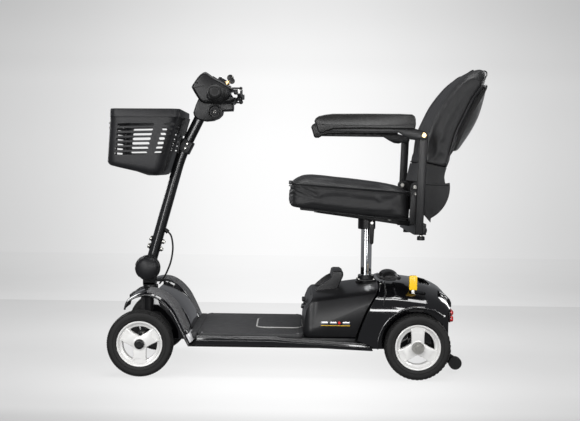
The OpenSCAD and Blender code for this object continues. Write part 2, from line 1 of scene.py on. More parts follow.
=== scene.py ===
import bpy, bmesh, json
from math import exp, sin, cos, pi, radians, atan2, hypot, sqrt, tan
from mathutils import Vector, Matrix, Euler, noise
from mathutils.geometry import delaunay_2d_cdt
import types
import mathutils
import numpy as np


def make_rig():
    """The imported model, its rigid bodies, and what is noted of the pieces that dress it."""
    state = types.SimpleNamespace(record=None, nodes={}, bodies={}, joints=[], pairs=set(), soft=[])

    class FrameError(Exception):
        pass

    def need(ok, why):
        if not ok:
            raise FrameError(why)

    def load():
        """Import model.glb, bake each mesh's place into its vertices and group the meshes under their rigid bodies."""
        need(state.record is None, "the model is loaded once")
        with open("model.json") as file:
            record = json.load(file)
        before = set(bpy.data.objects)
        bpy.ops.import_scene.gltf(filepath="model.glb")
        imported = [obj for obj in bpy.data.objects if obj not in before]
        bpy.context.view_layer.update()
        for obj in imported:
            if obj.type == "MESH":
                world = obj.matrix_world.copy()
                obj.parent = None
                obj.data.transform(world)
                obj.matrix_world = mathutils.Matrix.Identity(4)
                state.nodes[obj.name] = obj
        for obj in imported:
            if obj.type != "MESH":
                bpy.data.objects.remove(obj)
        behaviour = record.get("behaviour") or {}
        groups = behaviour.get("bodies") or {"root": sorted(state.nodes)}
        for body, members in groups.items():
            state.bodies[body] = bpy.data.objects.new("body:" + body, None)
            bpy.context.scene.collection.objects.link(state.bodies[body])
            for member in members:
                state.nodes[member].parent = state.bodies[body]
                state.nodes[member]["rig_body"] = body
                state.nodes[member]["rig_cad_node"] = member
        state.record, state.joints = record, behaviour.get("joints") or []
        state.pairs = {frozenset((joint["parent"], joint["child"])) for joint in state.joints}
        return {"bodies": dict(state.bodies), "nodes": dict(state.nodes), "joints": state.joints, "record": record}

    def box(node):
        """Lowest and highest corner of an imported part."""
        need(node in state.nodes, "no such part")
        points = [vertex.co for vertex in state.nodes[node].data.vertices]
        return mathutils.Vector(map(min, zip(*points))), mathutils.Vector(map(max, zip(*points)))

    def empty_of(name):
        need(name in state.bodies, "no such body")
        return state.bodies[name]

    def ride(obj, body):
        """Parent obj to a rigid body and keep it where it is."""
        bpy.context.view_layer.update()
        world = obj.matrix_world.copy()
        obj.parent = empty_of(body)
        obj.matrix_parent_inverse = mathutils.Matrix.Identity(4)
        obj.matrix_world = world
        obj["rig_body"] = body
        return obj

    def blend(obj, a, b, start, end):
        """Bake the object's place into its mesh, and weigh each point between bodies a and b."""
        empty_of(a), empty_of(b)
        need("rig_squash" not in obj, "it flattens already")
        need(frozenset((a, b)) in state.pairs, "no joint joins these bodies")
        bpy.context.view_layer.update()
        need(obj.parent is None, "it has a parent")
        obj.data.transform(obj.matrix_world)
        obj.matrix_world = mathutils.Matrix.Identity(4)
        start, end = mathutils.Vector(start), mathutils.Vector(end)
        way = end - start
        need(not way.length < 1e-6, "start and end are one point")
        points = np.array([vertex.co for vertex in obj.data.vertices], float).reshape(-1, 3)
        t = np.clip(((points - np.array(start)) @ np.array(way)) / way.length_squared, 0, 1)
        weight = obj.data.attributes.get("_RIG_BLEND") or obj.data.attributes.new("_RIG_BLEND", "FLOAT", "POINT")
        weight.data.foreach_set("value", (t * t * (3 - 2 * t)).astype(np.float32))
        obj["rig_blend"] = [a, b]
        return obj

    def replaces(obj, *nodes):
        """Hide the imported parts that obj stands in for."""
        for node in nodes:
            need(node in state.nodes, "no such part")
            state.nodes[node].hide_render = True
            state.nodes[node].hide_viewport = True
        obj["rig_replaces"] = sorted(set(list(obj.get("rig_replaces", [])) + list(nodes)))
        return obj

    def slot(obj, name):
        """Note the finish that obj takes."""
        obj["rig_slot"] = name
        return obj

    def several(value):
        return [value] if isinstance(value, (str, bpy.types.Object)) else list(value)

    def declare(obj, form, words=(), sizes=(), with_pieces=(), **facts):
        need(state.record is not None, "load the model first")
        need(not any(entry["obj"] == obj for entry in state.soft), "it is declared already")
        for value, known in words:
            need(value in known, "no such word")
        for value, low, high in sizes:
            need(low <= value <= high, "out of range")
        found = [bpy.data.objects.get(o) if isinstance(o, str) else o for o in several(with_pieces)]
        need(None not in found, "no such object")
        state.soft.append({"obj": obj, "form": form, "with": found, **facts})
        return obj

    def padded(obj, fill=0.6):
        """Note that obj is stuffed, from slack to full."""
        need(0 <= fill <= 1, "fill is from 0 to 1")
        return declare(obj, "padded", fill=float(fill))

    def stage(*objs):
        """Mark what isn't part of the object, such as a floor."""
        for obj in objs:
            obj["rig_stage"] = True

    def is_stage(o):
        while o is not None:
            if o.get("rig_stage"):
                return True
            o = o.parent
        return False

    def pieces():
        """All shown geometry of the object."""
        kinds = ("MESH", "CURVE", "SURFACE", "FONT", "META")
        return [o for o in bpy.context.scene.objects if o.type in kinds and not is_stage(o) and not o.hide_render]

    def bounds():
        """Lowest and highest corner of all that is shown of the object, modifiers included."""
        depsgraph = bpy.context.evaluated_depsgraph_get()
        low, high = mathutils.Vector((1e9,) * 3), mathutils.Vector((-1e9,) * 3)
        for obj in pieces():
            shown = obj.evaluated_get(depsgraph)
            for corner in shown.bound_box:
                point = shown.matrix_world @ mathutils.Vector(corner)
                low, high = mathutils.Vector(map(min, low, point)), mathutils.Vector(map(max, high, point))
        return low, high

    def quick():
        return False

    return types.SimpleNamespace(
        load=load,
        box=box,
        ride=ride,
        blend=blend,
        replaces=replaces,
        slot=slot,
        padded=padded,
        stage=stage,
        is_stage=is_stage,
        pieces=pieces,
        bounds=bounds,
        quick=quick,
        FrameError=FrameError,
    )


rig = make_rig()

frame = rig.load()
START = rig.bounds()
SCENE = bpy.context.scene
MM = 0.001
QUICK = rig.quick()

# ---------------------------------------------------------------- anchors
def mid(node):
    a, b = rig.box(node)
    return (a + b) / 2 / MM

JOINT = {j["name"]: j for j in frame["joints"]}
FX, FZ = mid("rim_front_left").x, JOINT["front_spin_left"]["pos_m"][2] / MM
RX, RZ = JOINT["rear_spin_left"]["pos_m"][0] / MM, FZ
WY = -JOINT["front_spin_left"]["pos_m"][1] / MM
FX = JOINT["front_spin_left"]["pos_m"][0] / MM
PX, PZ = JOINT["tiller_tilt"]["pos_m"][0] / MM, JOINT["tiller_tilt"]["pos_m"][2] / MM
HX, HZ = JOINT["back_fold"]["pos_m"][0] / MM, JOINT["back_fold"]["pos_m"][2] / MM
AX, AZ = JOINT["arm_flip_left"]["pos_m"][0] / MM, JOINT["arm_flip_left"]["pos_m"][2] / MM
BARX, BARZ = mid("handlebar").x, mid("handlebar").z
BEND, TOP = (-374, 669), (-314, 792)
BODY = {n: b for b, ns in frame["record"]["behaviour"]["bodies"].items() for n in ns}
U2 = Vector((TOP[0] - BEND[0], 0, TOP[1] - BEND[1])).normalized()
DASH = Vector(JOINT["key_turn"]["axis"]).normalized()

# ---------------------------------------------------------------- shading
def put(nt, sock, v):
    if isinstance(v, Sh):
        nt.links.new(v.out, sock)
    elif isinstance(v, (tuple, list)) and len(v) == 3 and sock.type == "RGBA":
        sock.default_value = (*v, 1)
    else:
        sock.default_value = v

class Sh:
    def __init__(s, nt, out):
        s.nt, s.out = nt, out
    def op(s, kind, *rest, clamp=False):
        n = s.nt.nodes.new("ShaderNodeMath")
        n.operation, n.use_clamp = kind, clamp
        for i, v in enumerate((s,) + rest):
            put(s.nt, n.inputs[i], v)
        return Sh(s.nt, n.outputs[0])
    def __add__(s, o): return s.op("ADD", o)
    __radd__ = __add__
    def __sub__(s, o): return s.op("SUBTRACT", o)
    def __mul__(s, o): return s.op("MULTIPLY", o)
    __rmul__ = __mul__
    def __pow__(s, o): return s.op("POWER", o)
    def __gt__(s, o): return s.op("GREATER_THAN", o)
    def __lt__(s, o): return s.op("LESS_THAN", o)
    def exp(s): return s.op("EXPONENT")
    def rgb(s):
        n = s.nt.nodes.new("ShaderNodeCombineColor")
        for i in range(3):
            put(s.nt, n.inputs[i], s)
        return Sh(s.nt, n.outputs[0])
    def step(s, a, b):
        n = s.nt.nodes.new("ShaderNodeMapRange")
        n.interpolation_type = "SMOOTHSTEP"
        put(s.nt, n.inputs["Value"], s)
        n.inputs["From Min"].default_value, n.inputs["From Max"].default_value = a, b
        return Sh(s.nt, n.outputs["Result"])

class Mat:
    def __init__(s, name, **fixed):
        s.m = bpy.data.materials.new(name)
        s.m.use_nodes = True
        s.nt = s.m.node_tree
        s.b = s.nt.nodes["Principled BSDF"]
        s.co = s.node("ShaderNodeTexCoord", "Object")
        for k, v in fixed.items():
            s.set(k.replace("_", " "), v)
    def set(s, name, v):
        put(s.nt, s.b.inputs[name], v)
    def node(s, kind, out=0, props=(), **ins):
        n = s.nt.nodes.new(kind)
        for k, v in dict(props).items():
            setattr(n, k, v)
        for k, v in ins.items():
            put(s.nt, n.inputs[k.replace("_", " ")], v)
        return Sh(s.nt, n.outputs[out])
    def noise(s, scale, detail=3, co=None, rough=0.5):
        return s.node("ShaderNodeTexNoise", "Fac", Vector=co or s.co, Scale=scale, Detail=detail, Roughness=rough)
    def cells(s, scale, feature="F1", out="Distance", co=None, rnd=1.0):
        return s.node("ShaderNodeTexVoronoi", out, (("feature", feature),), Vector=co or s.co, Scale=scale, Randomness=rnd)
    def xyz(s, co=None):
        n = s.nt.nodes.new("ShaderNodeSeparateXYZ")
        put(s.nt, n.inputs[0], co or s.co)
        return [Sh(s.nt, o) for o in n.outputs]
    def mix(s, f, a, b):
        n = s.nt.nodes.new("ShaderNodeMix")
        n.data_type = "RGBA"
        put(s.nt, n.inputs["Factor"], f)
        put(s.nt, n.inputs[6], a)
        put(s.nt, n.inputs[7], b)
        return Sh(s.nt, n.outputs[2])
    def bump(s, height, dist, strength=1.0, under=None):
        ins = dict(Height=height, Distance=dist, Strength=strength)
        if under is not None:
            ins["Normal"] = under
        return s.node("ShaderNodeBump", "Normal", **ins)

def plain(name, col, rough, vary=0.06, grain=None, tint=0.18, metal=0.0, coat=0.0, coat_r=0.06, leather=None, wear=0.0, **kw):
    """a finish with soft colour drift, roughness drift, fine grain and a little handling wear"""
    if max(col) < 0.05:
        col = tuple(c * 0.55 for c in col)
        kw.setdefault("Specular_IOR_Level", 0.5 if coat else 0.24)
    m = Mat(name, Metallic=metal, Coat_Weight=coat, Coat_Roughness=coat_r, **kw)
    n1, n2 = m.noise(9, 4), m.noise(70, 3)
    dark = tuple(c * (1 - tint) for c in col)
    light = tuple(min(1, c * (1 + tint)) for c in col)
    base = m.mix(n1.step(0.3, 0.7), dark, light)
    if wear:
        scuff = (m.noise(26, 6, rough=0.75) * m.noise(4, 2)).step(0.30, 0.42)
        base = m.mix(scuff * wear, base, tuple(min(1, c * 2.2 + 0.006) for c in col))
    m.set("Base Color", base)
    m.set("Roughness", (n1 * (vary * 0.8) + n2 * vary + (rough - vary * 0.9)).op("MAXIMUM", 0.02))
    nrm = m.bump(m.noise(420, 2), 0.00012, 0.15 if grain is None else 0.0)
    if grain:
        nrm = m.bump(m.noise(grain[0], 3), grain[1], grain[2])
    if leather:
        sc, d, st = leather
        cell = m.cells(sc, "DISTANCE_TO_EDGE")
        h = cell.step(0.0, 0.22) + m.noise(sc * 1.6, 3) * 0.5
        nrm = m.bump(h, d, st)
    m.set("Normal", nrm)
    return m.m

M = {}
M["gloss"] = plain("gloss_black", (0.006, 0.006, 0.007), 0.09, 0.05, tint=0.1, coat=0.6, coat_r=0.03, grain=(55, 0.00025, 0.10), wear=0.04)
M["satin"] = plain("satin_black", (0.016, 0.016, 0.017), 0.36, 0.08, grain=(1500, 0.00012, 0.30), wear=0.10)
M["shell"] = plain("battery_satin", (0.012, 0.012, 0.013), 0.30, 0.06, grain=(1800, 0.00010, 0.22), wear=0.05)
M["console"] = plain("console_texture", (0.020, 0.020, 0.022), 0.40, 0.07, leather=(1300, 0.00010, 0.35), wear=0.06)
M["tub"] = plain("seat_shell_grain", (0.020, 0.020, 0.021), 0.46, 0.07, leather=(900, 0.00018, 0.50), wear=0.08)
M["vinyl"] = plain("seat_vinyl", (0.019, 0.019, 0.020), 0.42, 0.10, leather=(620, 0.00016, 0.55), wear=0.05)
M["vinyl2"] = plain("seat_vinyl_panel", (0.015, 0.015, 0.016), 0.46, 0.10, leather=(620, 0.00016, 0.55), wear=0.05)
M["piping"] = plain("piping_vinyl", (0.022, 0.022, 0.023), 0.34, 0.08, leather=(900, 0.0001, 0.3))
M["thread"] = plain("stitch_thread", (0.030, 0.030, 0.031), 0.7, 0.1, grain=(2600, 0.0001, 0.6))
M["pad"] = plain("armrest_skin", (0.017, 0.0165, 0.016), 0.27, 0.05, wear=0.03)
M["paint"] = plain("frame_powder_coat", (0.013, 0.013, 0.014), 0.33, 0.08, grain=(900, 0.00014, 0.35), wear=0.12)
M["tiller"] = plain("tiller_paint", (0.011, 0.011, 0.012), 0.20, 0.05, grain=(700, 0.0001, 0.15), coat=0.3, wear=0.06)
M["zinc"] = plain("zinc_plate", (0.50, 0.49, 0.46), 0.32, 0.16, metal=1.0, grain=(800, 0.0001, 0.3), tint=0.25)
M["dark_steel"] = plain("dark_steel", (0.14, 0.14, 0.145), 0.36, 0.14, metal=1.0, grain=(700, 0.0001, 0.3), tint=0.25)
M["chrome"] = plain("chrome_plate", (0.76, 0.77, 0.78), 0.06, 0.04, metal=1.0, tint=0.03)
M["brass"] = plain("brass", (0.62, 0.42, 0.20), 0.24, 0.1, metal=1.0, grain=(900, 0.0001, 0.3), tint=0.2)
M["alloy"] = plain("cast_housing", (0.15, 0.15, 0.155), 0.48, 0.1, metal=0.6, grain=(260, 0.0004, 0.5), wear=0.1)
M["tyre"] = plain("tyre_rubber", (0.018, 0.0178, 0.0175), 0.62, 0.12, grain=(600, 0.0002, 0.45), wear=0.30)
M["rim"] = plain("rim_silver_white", (0.66, 0.655, 0.64), 0.34, 0.06, tint=0.035, coat=0.25, grain=(1500, 0.00006, 0.2), metal=0.12)
M["rim_in"] = plain("rim_recess", (0.50, 0.50, 0.49), 0.42, 0.08, tint=0.05, grain=(1500, 0.00006, 0.2))
M["grip"] = plain("grip_rubber", (0.014, 0.014, 0.014), 0.55, 0.1, grain=(1300, 0.00012, 0.4), wear=0.08)
M["yellow"] = plain("yellow_plastic", (0.86, 0.52, 0.006), 0.33, 0.07, tint=0.05, grain=(900, 0.00008, 0.2), coat=0.15)
M["grey"] = plain("grey_plastic", (0.36, 0.36, 0.35), 0.38, 0.08, tint=0.06, grain=(1100, 0.0001, 0.25), wear=0.06)
M["pale"] = plain("pale_plastic", (0.66, 0.66, 0.64), 0.28, 0.08, tint=0.05, grain=(900, 0.00008, 0.2), coat=0.2)
M["badge"] = plain("badge_silver", (0.62, 0.62, 0.62), 0.24, 0.08, metal=0.7, tint=0.06)
M["badge_red"] = plain("badge_red", (0.55, 0.02, 0.012), 0.28, 0.06, tint=0.08, coat=0.3)
M["cable"] = plain("cable_sheath", (0.010, 0.010, 0.010), 0.42, 0.08, grain=(1100, 0.0001, 0.3))

def special():
    m = Mat("grip_speckle", Metallic=0.0)
    c1, c2 = m.cells(430), m.cells(760)
    sp = (c1.step(0.42, 0.30) + c2.step(0.36, 0.26) * 0.6).op("MINIMUM", 1.0)
    base = m.mix(sp, (0.022, 0.022, 0.023), (0.20, 0.20, 0.205))
    m.set("Base Color", m.mix(m.noise(8, 3).step(0.35, 0.7) * 0.25, base, (0.09, 0.09, 0.09)))
    m.set("Roughness", m.noise(60, 3) * 0.2 + 0.62)
    m.set("Normal", m.bump(sp + m.noise(900, 3) * 0.6, 0.0004, 0.7))
    M["speckle"] = m.m
    m = Mat("floor_mat_rubber")
    x, y, z = m.xyz()
    rib = ((x + y * 0.62) * 1450.0).op("SINE")
    m.set("Base Color", m.mix(rib.step(-0.3, 0.9), (0.010, 0.010, 0.011), (0.030, 0.030, 0.031)))
    m.set("Roughness", m.noise(40, 4) * 0.18 + 0.50)
    m.set("Normal", m.bump(rib * 0.5 + m.noise(500, 2) * 0.3, 0.0009, 0.6))
    M["mat"] = m.m
    m = Mat("floor_panel_rubber")
    x, y, z = m.xyz()
    dots = (x * 1050.0).op("SINE") * (y * 1050.0).op("SINE")
    m.set("Base Color", m.mix(dots.step(0.0, 0.6), (0.012, 0.012, 0.013), (0.040, 0.040, 0.041)))
    m.set("Roughness", m.noise(40, 4) * 0.2 + 0.5)
    m.set("Normal", m.bump(dots * 0.5 + m.noise(500, 2) * 0.3, 0.0008, 0.6))
    M["panel"] = m.m
    m = Mat("tail_lens", Coat_Weight=0.8, Coat_Roughness=0.03)
    x, y, z = m.xyz()
    fl = (y * 900.0).op("SINE") * (z * 900.0).op("SINE")
    m.set("Base Color", m.mix(fl.step(-0.5, 0.8), (0.26, 0.004, 0.006), (0.60, 0.012, 0.014)))
    m.set("Roughness", m.noise(90, 2) * 0.08 + 0.10)
    m.set("Normal", m.bump(fl, 0.0005, 0.4))
    m.set("Emission Color", m.mix(fl.step(-0.5, 0.8), (0.2, 0.0, 0.0), (0.5, 0.01, 0.01)))
    m.set("Emission Strength", 0.12)
    M["lens"] = m.m
    m = Mat("reflector", Coat_Weight=0.7, Coat_Roughness=0.05)
    x, y, z = m.xyz()
    fl = (y * 1700.0).op("SINE") * (z * 1700.0).op("SINE")
    m.set("Base Color", m.mix(fl.step(-0.4, 0.8), (0.42, 0.42, 0.43), (0.70, 0.70, 0.70)))
    m.set("Roughness", m.noise(90, 2) * 0.1 + 0.18)
    m.set("Normal", m.bump(fl, 0.0004, 0.5))
    M["reflector"] = m.m
    m = Mat("pocket_weave")
    x, y, z = m.xyz()
    w = (y * 2600.0).op("SINE") * ((z + x) * 2600.0).op("SINE")
    m.set("Base Color", m.mix(w.step(-0.6, 0.8), (0.005, 0.005, 0.005), (0.018, 0.018, 0.018)))
    m.set("Roughness", m.noise(60, 3) * 0.15 + 0.74)
    m.set("Sheen Weight", 0.25)
    m.set("Normal", m.bump(w * 0.6 + m.noise(220, 3) * 0.4, 0.0005, 0.6))
    M["weave"] = m.m
    m = Mat("brushed_zinc_tray", Metallic=1.0)
    m.set("Base Color", m.mix(m.noise(30, 4), (0.3, 0.3, 0.3), (0.5, 0.5, 0.5)))
    m.set("Roughness", m.noise(120, 3) * 0.25 + 0.25)
    M["tray"] = m.m
special()

# ---------------------------------------------------------------- geometry
def mesh(name, verts, faces, mat, body=None, stands=(), slot=None, sharp=35, fix=True, mats=None, index=None):
    me = bpy.data.meshes.new(name)
    me.from_pydata([Vector(v) * MM for v in verts], [], faces)
    o = bpy.data.objects.new(name, me)
    SCENE.collection.objects.link(o)
    for k in (mats or [mat]):
        me.materials.append(M[k])
    if index:
        me.polygons.foreach_set("material_index", index)
    if fix:
        bm = bmesh.new()
        bm.from_mesh(me)
        bmesh.ops.recalc_face_normals(bm, faces=bm.faces)
        bm.to_mesh(me)
        bm.free()
    return finish_piece(o, body, stands, slot, sharp)

def finish_piece(o, body=None, stands=(), slot=None, sharp=35):
    o.data.shade_smooth()
    o.data.set_sharp_from_angle(angle=radians(sharp))
    if body:
        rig.ride(o, body)
    if stands:
        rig.replaces(o, *([stands] if isinstance(stands, str) else stands))
    if slot:
        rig.slot(o, slot)
    return o

def from_bm(name, bm, mat, body=None, stands=(), slot=None, sharp=35):
    bmesh.ops.recalc_face_normals(bm, faces=bm.faces)
    me = bpy.data.meshes.new(name)
    bm.to_mesh(me)
    bm.free()
    me.transform(Matrix.Scale(MM, 4))
    o = bpy.data.objects.new(name, me)
    SCENE.collection.objects.link(o)
    me.materials.append(M[mat])
    return finish_piece(o, body, stands, slot, sharp)

def bevel(bm, w, seg=3, angle=25, pick=None):
    if w <= 0:
        return
    es = [e for e in bm.edges if len(e.link_faces) == 2 and e.calc_face_angle(0) > radians(angle)
          and (pick is None or pick(e))]
    bmesh.ops.bevel(bm, geom=es, offset=w, segments=seg, profile=0.5, affect="EDGES", clamp_overlap=True)

def slab(pts, y0, y1, w=2.0, seg=3, cap=None, frame3=None):
    """closed outline in X,Z swept from y0 to y1; w rounds all edges, cap only the rims of both ends"""
    bm = bmesh.new()
    f = frame3 or (lambda a, b, y: Vector((a, y, b)))
    v0 = [bm.verts.new(f(a, b, y0)) for a, b in pts]
    v1 = [bm.verts.new(f(a, b, y1)) for a, b in pts]
    n = len(pts)
    bm.faces.new(v0)
    bm.faces.new(v1[::-1])
    for i in range(n):
        bm.faces.new((v0[i], v1[i], v1[(i + 1) % n], v0[(i + 1) % n]))
    bmesh.ops.recalc_face_normals(bm, faces=bm.faces)
    if cap:
        big = {f for f in bm.faces if len(f.verts) == n and n != 4} or {bm.faces[0], bm.faces[1]}
        bm.faces.ensure_lookup_table()
        big = {bm.faces[0], bm.faces[1]}
        bevel(bm, cap, seg, 10, lambda e: any(x in big for x in e.link_faces))
    else:
        bevel(bm, w, seg)
    return bm

def extr(name, pts, y0, y1, mat, body=None, stands=(), slot=None, w=2.0, seg=3, cap=None, sharp=35):
    return from_bm(name, slab(pts, y0, y1, w, seg, cap), mat, body, stands, slot, sharp)

def block(name, a, b, mat, body=None, w=2.0, seg=2, stands=(), slot=None):
    return extr(name, [(a[0], a[2]), (b[0], a[2]), (b[0], b[2]), (a[0], b[2])], a[1], b[1], mat, body, stands, slot, w, seg)

def basis(axis):
    a = Vector(axis).normalized()
    u = a.cross(Vector((0, 0, 1)) if abs(a.z) < 0.9 else Vector((1, 0, 0))).normalized()
    return a, u, a.cross(u)

def lathe(name, prof, centre, axis, mat, body=None, stands=(), slot=None, n=48, sharp=35, a0=0, a1=360, wob=None):
    """prof: (radius, height along axis)"""
    a, u, v = basis(axis)
    c = Vector(centre)
    full = a1 - a0 >= 360
    rows = n if full else n + 1
    verts, faces = [], []
    k = len(prof)
    for i in range(rows):
        t = radians(a0 + (a1 - a0) * i / n)
        d = u * cos(t) + v * sin(t)
        for r, h in prof:
            rr = r + (wob(i, r, h) if wob else 0)
            verts.append(c + d * rr + a * h)
    for i in range(n):
        j = (i + 1) % rows
        for q in range(k - 1):
            faces.append((i * k + q, j * k + q, j * k + q + 1, i * k + q + 1))
    o = mesh(name, verts, faces, mat, None, (), None, sharp, fix=False)
    bm = bmesh.new()
    bm.from_mesh(o.data)
    bmesh.ops.remove_doubles(bm, verts=bm.verts, dist=1e-6)
    bmesh.ops.dissolve_degenerate(bm, edges=bm.edges, dist=1e-6)
    if not full:
        bmesh.ops.holes_fill(bm, edges=bm.edges, sides=0)
    bmesh.ops.recalc_face_normals(bm, faces=bm.faces)
    bm.to_mesh(o.data)
    bm.free()
    return finish_piece(o, body, stands, slot, sharp)

def spl(pts, k=6, closed=False):
    """points of a smooth curve through pts"""
    P = [Vector(p) for p in pts]
    n = len(P)
    out = []
    for i in range(n if closed else n - 1):
        p0 = P[(i - 1) % n] if closed or i else P[0] * 2 - P[1]
        p1, p2 = P[i], P[(i + 1) % n]
        p3 = P[(i + 2) % n] if closed or i + 2 < n else P[-1] * 2 - P[-2]
        for j in range(k):
            t = j / k
            out.append(0.5 * ((2 * p1) + (p2 - p0) * t + (2 * p0 - 5 * p1 + 4 * p2 - p3) * t * t
                              + (3 * p1 - p0 - 3 * p2 + p3) * t ** 3))
    if not closed:
        out.append(P[-1])
    return out

def sweep(name, path, shape, mat, body=None, stands=(), slot=None, closed=False, up=(0, 1, 0), sharp=35):
    """shape: list of (across, up) offsets, or a radius"""
    if not isinstance(shape, (list, tuple)):
        r = shape
        shape = [(r * cos(2 * pi * i / 16), r * sin(2 * pi * i / 16)) for i in range(16)]
    P = [Vector(p) for p in path]
    n, k = len(P), len(shape)
    verts, faces = [], []
    ref = Vector(up)
    for i in range(n):
        a = P[(i - 1) % n] if closed or i else P[0]
        b = P[(i + 1) % n] if closed or i < n - 1 else P[-1]
        t = (b - a).normalized()
        w = (ref - t * ref.dot(t)).normalized()
        s = t.cross(w)
        for x, y in shape:
            verts.append(P[i] + s * x + w * y)
    for i in range(n if closed else n - 1):
        j = (i + 1) % n
        for q in range(k):
            faces.append((i * k + q, j * k + q, j * k + (q + 1) % k, i * k + (q + 1) % k))
    if not closed:
        faces.append(tuple(range(k)))
        faces.append(tuple(range((n - 1) * k, n * k))[::-1])
    return mesh(name, verts, faces, mat, body, stands, slot, sharp)

def loft(name, rows, mat, body=None, stands=(), slot=None, ring=False, caps=False, thick=0.0, sharp=35, mats=None, index=None):
    k = len(rows[0])
    verts = [p for r in rows for p in r]
    faces = []
    for i in range(len(rows) - 1):
        for q in range(k if ring else k - 1):
            faces.append((i * k + q, i * k + (q + 1) % k, (i + 1) * k + (q + 1) % k, (i + 1) * k + q))
    if caps:
        faces.append(tuple(range(k))[::-1])
        faces.append(tuple(range((len(rows) - 1) * k, len(rows) * k)))
    o = mesh(name, verts, faces, mat, None, (), None, sharp, mats=mats, index=index)
    if thick:
        apply_mod(o, "SOLIDIFY", thickness=thick * MM, offset=-1.0, use_even_offset=False)
    return finish_piece(o, body, stands, slot, sharp)

def apply_mod(o, kind, **props):
    md = o.modifiers.new("m", kind)
    for k, v in props.items():
        setattr(md, k, v)
    bpy.context.view_layer.update()
    dg = bpy.context.evaluated_depsgraph_get()
    new = bpy.data.meshes.new_from_object(o.evaluated_get(dg))
    o.modifiers.clear()
    old, o.data = o.data, new
    bpy.data.meshes.remove(old)
    return o

def cut(o, *tools, op="DIFFERENCE"):
    for t in tools:
        apply_mod(o, "BOOLEAN", operation=op, object=t, solver="EXACT")
        bpy.data.objects.remove(t)
    return o

def mirror_y(o, name, body=None, stands=(), slot=None):
    me = o.data.copy()
    me.transform(Matrix.Scale(-1, 4, (0, 1, 0)))
    me.flip_normals()
    n = bpy.data.objects.new(name, me)
    SCENE.collection.objects.link(n)
    if body:
        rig.ride(n, body)
    if stands:
        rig.replaces(n, *([stands] if isinstance(stands, str) else stands))
    if slot:
        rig.slot(n, slot)
    return n

def weld(name, objs, body=None, stands=(), slot=None, sharp=35):
    """several meshes as one piece"""
    bm = bmesh.new()
    mats = []
    for o in objs:
        base = len(bm.faces)
        idx = []
        for m in o.data.materials:
            if m not in mats:
                mats.append(m)
            idx.append(mats.index(m))
        bm.from_mesh(o.data)
        bm.faces.ensure_lookup_table()
        for f in bm.faces[base:]:
            f.material_index = idx[f.material_index] if idx else 0
    me = bpy.data.meshes.new(name)
    bm.to_mesh(me)
    bm.free()
    for m in mats:
        me.materials.append(m)
    for o in objs:
        bpy.data.objects.remove(o)
    o = bpy.data.objects.new(name, me)
    SCENE.collection.objects.link(o)
    return finish_piece(o, body, stands, slot, sharp)

def scatter_group():
    g = bpy.data.node_groups.new("repeat_on_points", "GeometryNodeTree")
    for nm, tp in (("Points", "NodeSocketGeometry"), ("Unit", "NodeSocketObject"), ("Finish", "NodeSocketMaterial"), ("Size", "NodeSocketFloat")):
        g.interface.new_socket(nm, in_out="INPUT", socket_type=tp)
    g.interface.new_socket("Geometry", in_out="OUTPUT", socket_type="NodeSocketGeometry")
    N = g.nodes.new
    gi, go = N("NodeGroupInput"), N("NodeGroupOutput")
    info, inst, real, sm = N("GeometryNodeObjectInfo"), N("GeometryNodeInstanceOnPoints"), N("GeometryNodeRealizeInstances"), N("GeometryNodeSetMaterial")
    at, e2r = N("GeometryNodeInputNamedAttribute"), N("FunctionNodeEulerToRotation")
    at.data_type = "FLOAT_VECTOR"
    at.inputs["Name"].default_value = "turn"
    L = g.links.new
    L(gi.outputs["Points"], inst.inputs["Points"])
    L(gi.outputs["Unit"], info.inputs["Object"])
    L(info.outputs["Geometry"], inst.inputs["Instance"])
    L(at.outputs["Attribute"], e2r.inputs["Euler"])
    L(e2r.outputs["Rotation"], inst.inputs["Rotation"])
    L(gi.outputs["Size"], inst.inputs["Scale"])
    L(inst.outputs["Instances"], real.inputs["Geometry"])
    L(real.outputs["Geometry"], sm.inputs["Geometry"])
    L(gi.outputs["Finish"], sm.inputs["Material"])
    L(sm.outputs["Geometry"], go.inputs["Geometry"])
    return g

GROUP = scatter_group()

def scatter(name, unit, places, mat, body=None, stands=(), slot=None, sharp=35, size=1.0):
    """unit repeated at each matrix of places (translation in mm); unit is used up"""
    me = bpy.data.meshes.new(name + "_pts")
    me.from_pydata([p.to_translation() * MM for p in places], [], [])
    at = me.attributes.new("turn", "FLOAT_VECTOR", "POINT")
    at.data.foreach_set("vector", [c for p in places for c in p.to_euler("XYZ")])
    o = bpy.data.objects.new(name, me)
    SCENE.collection.objects.link(o)
    md = o.modifiers.new("repeat", "NODES")
    md.node_group = GROUP
    ids = {s.name: s.identifier for s in GROUP.interface.items_tree if s.in_out == "INPUT"}
    md[ids["Unit"]] = unit
    md[ids["Finish"]] = M[mat]
    md[ids["Size"]] = size
    bpy.context.view_layer.update()
    dg = bpy.context.evaluated_depsgraph_get()
    new = bpy.data.meshes.new_from_object(o.evaluated_get(dg))
    o.modifiers.clear()
    old, o.data = o.data, new
    bpy.data.meshes.remove(old)
    bpy.data.objects.remove(unit)
    return finish_piece(o, body, stands, slot, sharp)

def place(pos, z, x=None):
    """matrix at pos with its Z along z and X near x"""
    z = Vector(z).normalized()
    x = Vector(x) if x is not None else (Vector((1, 0, 0)) if abs(z.x) < 0.9 else Vector((0, 1, 0)))
    x = (x - z * x.dot(z)).normalized()
    y = z.cross(x)
    return Matrix(((x.x, y.x, z.x, pos[0]), (x.y, y.y, z.y, pos[1]), (x.z, y.z, z.z, pos[2]), (0, 0, 0, 1)))

def unit_block(sx, sy, sz, w=0.4, taper=1.0):
    bm = bmesh.new()
    bmesh.ops.create_cube(bm, size=1)
    for v in bm.verts:
        k = taper if v.co.z > 0 else 1
        v.co = Vector((v.co.x * sx * k, v.co.y * sy * k, (v.co.z + 0.5) * sz))
    bevel(bm, w, 1)
    return from_bm("unit", bm, "satin")

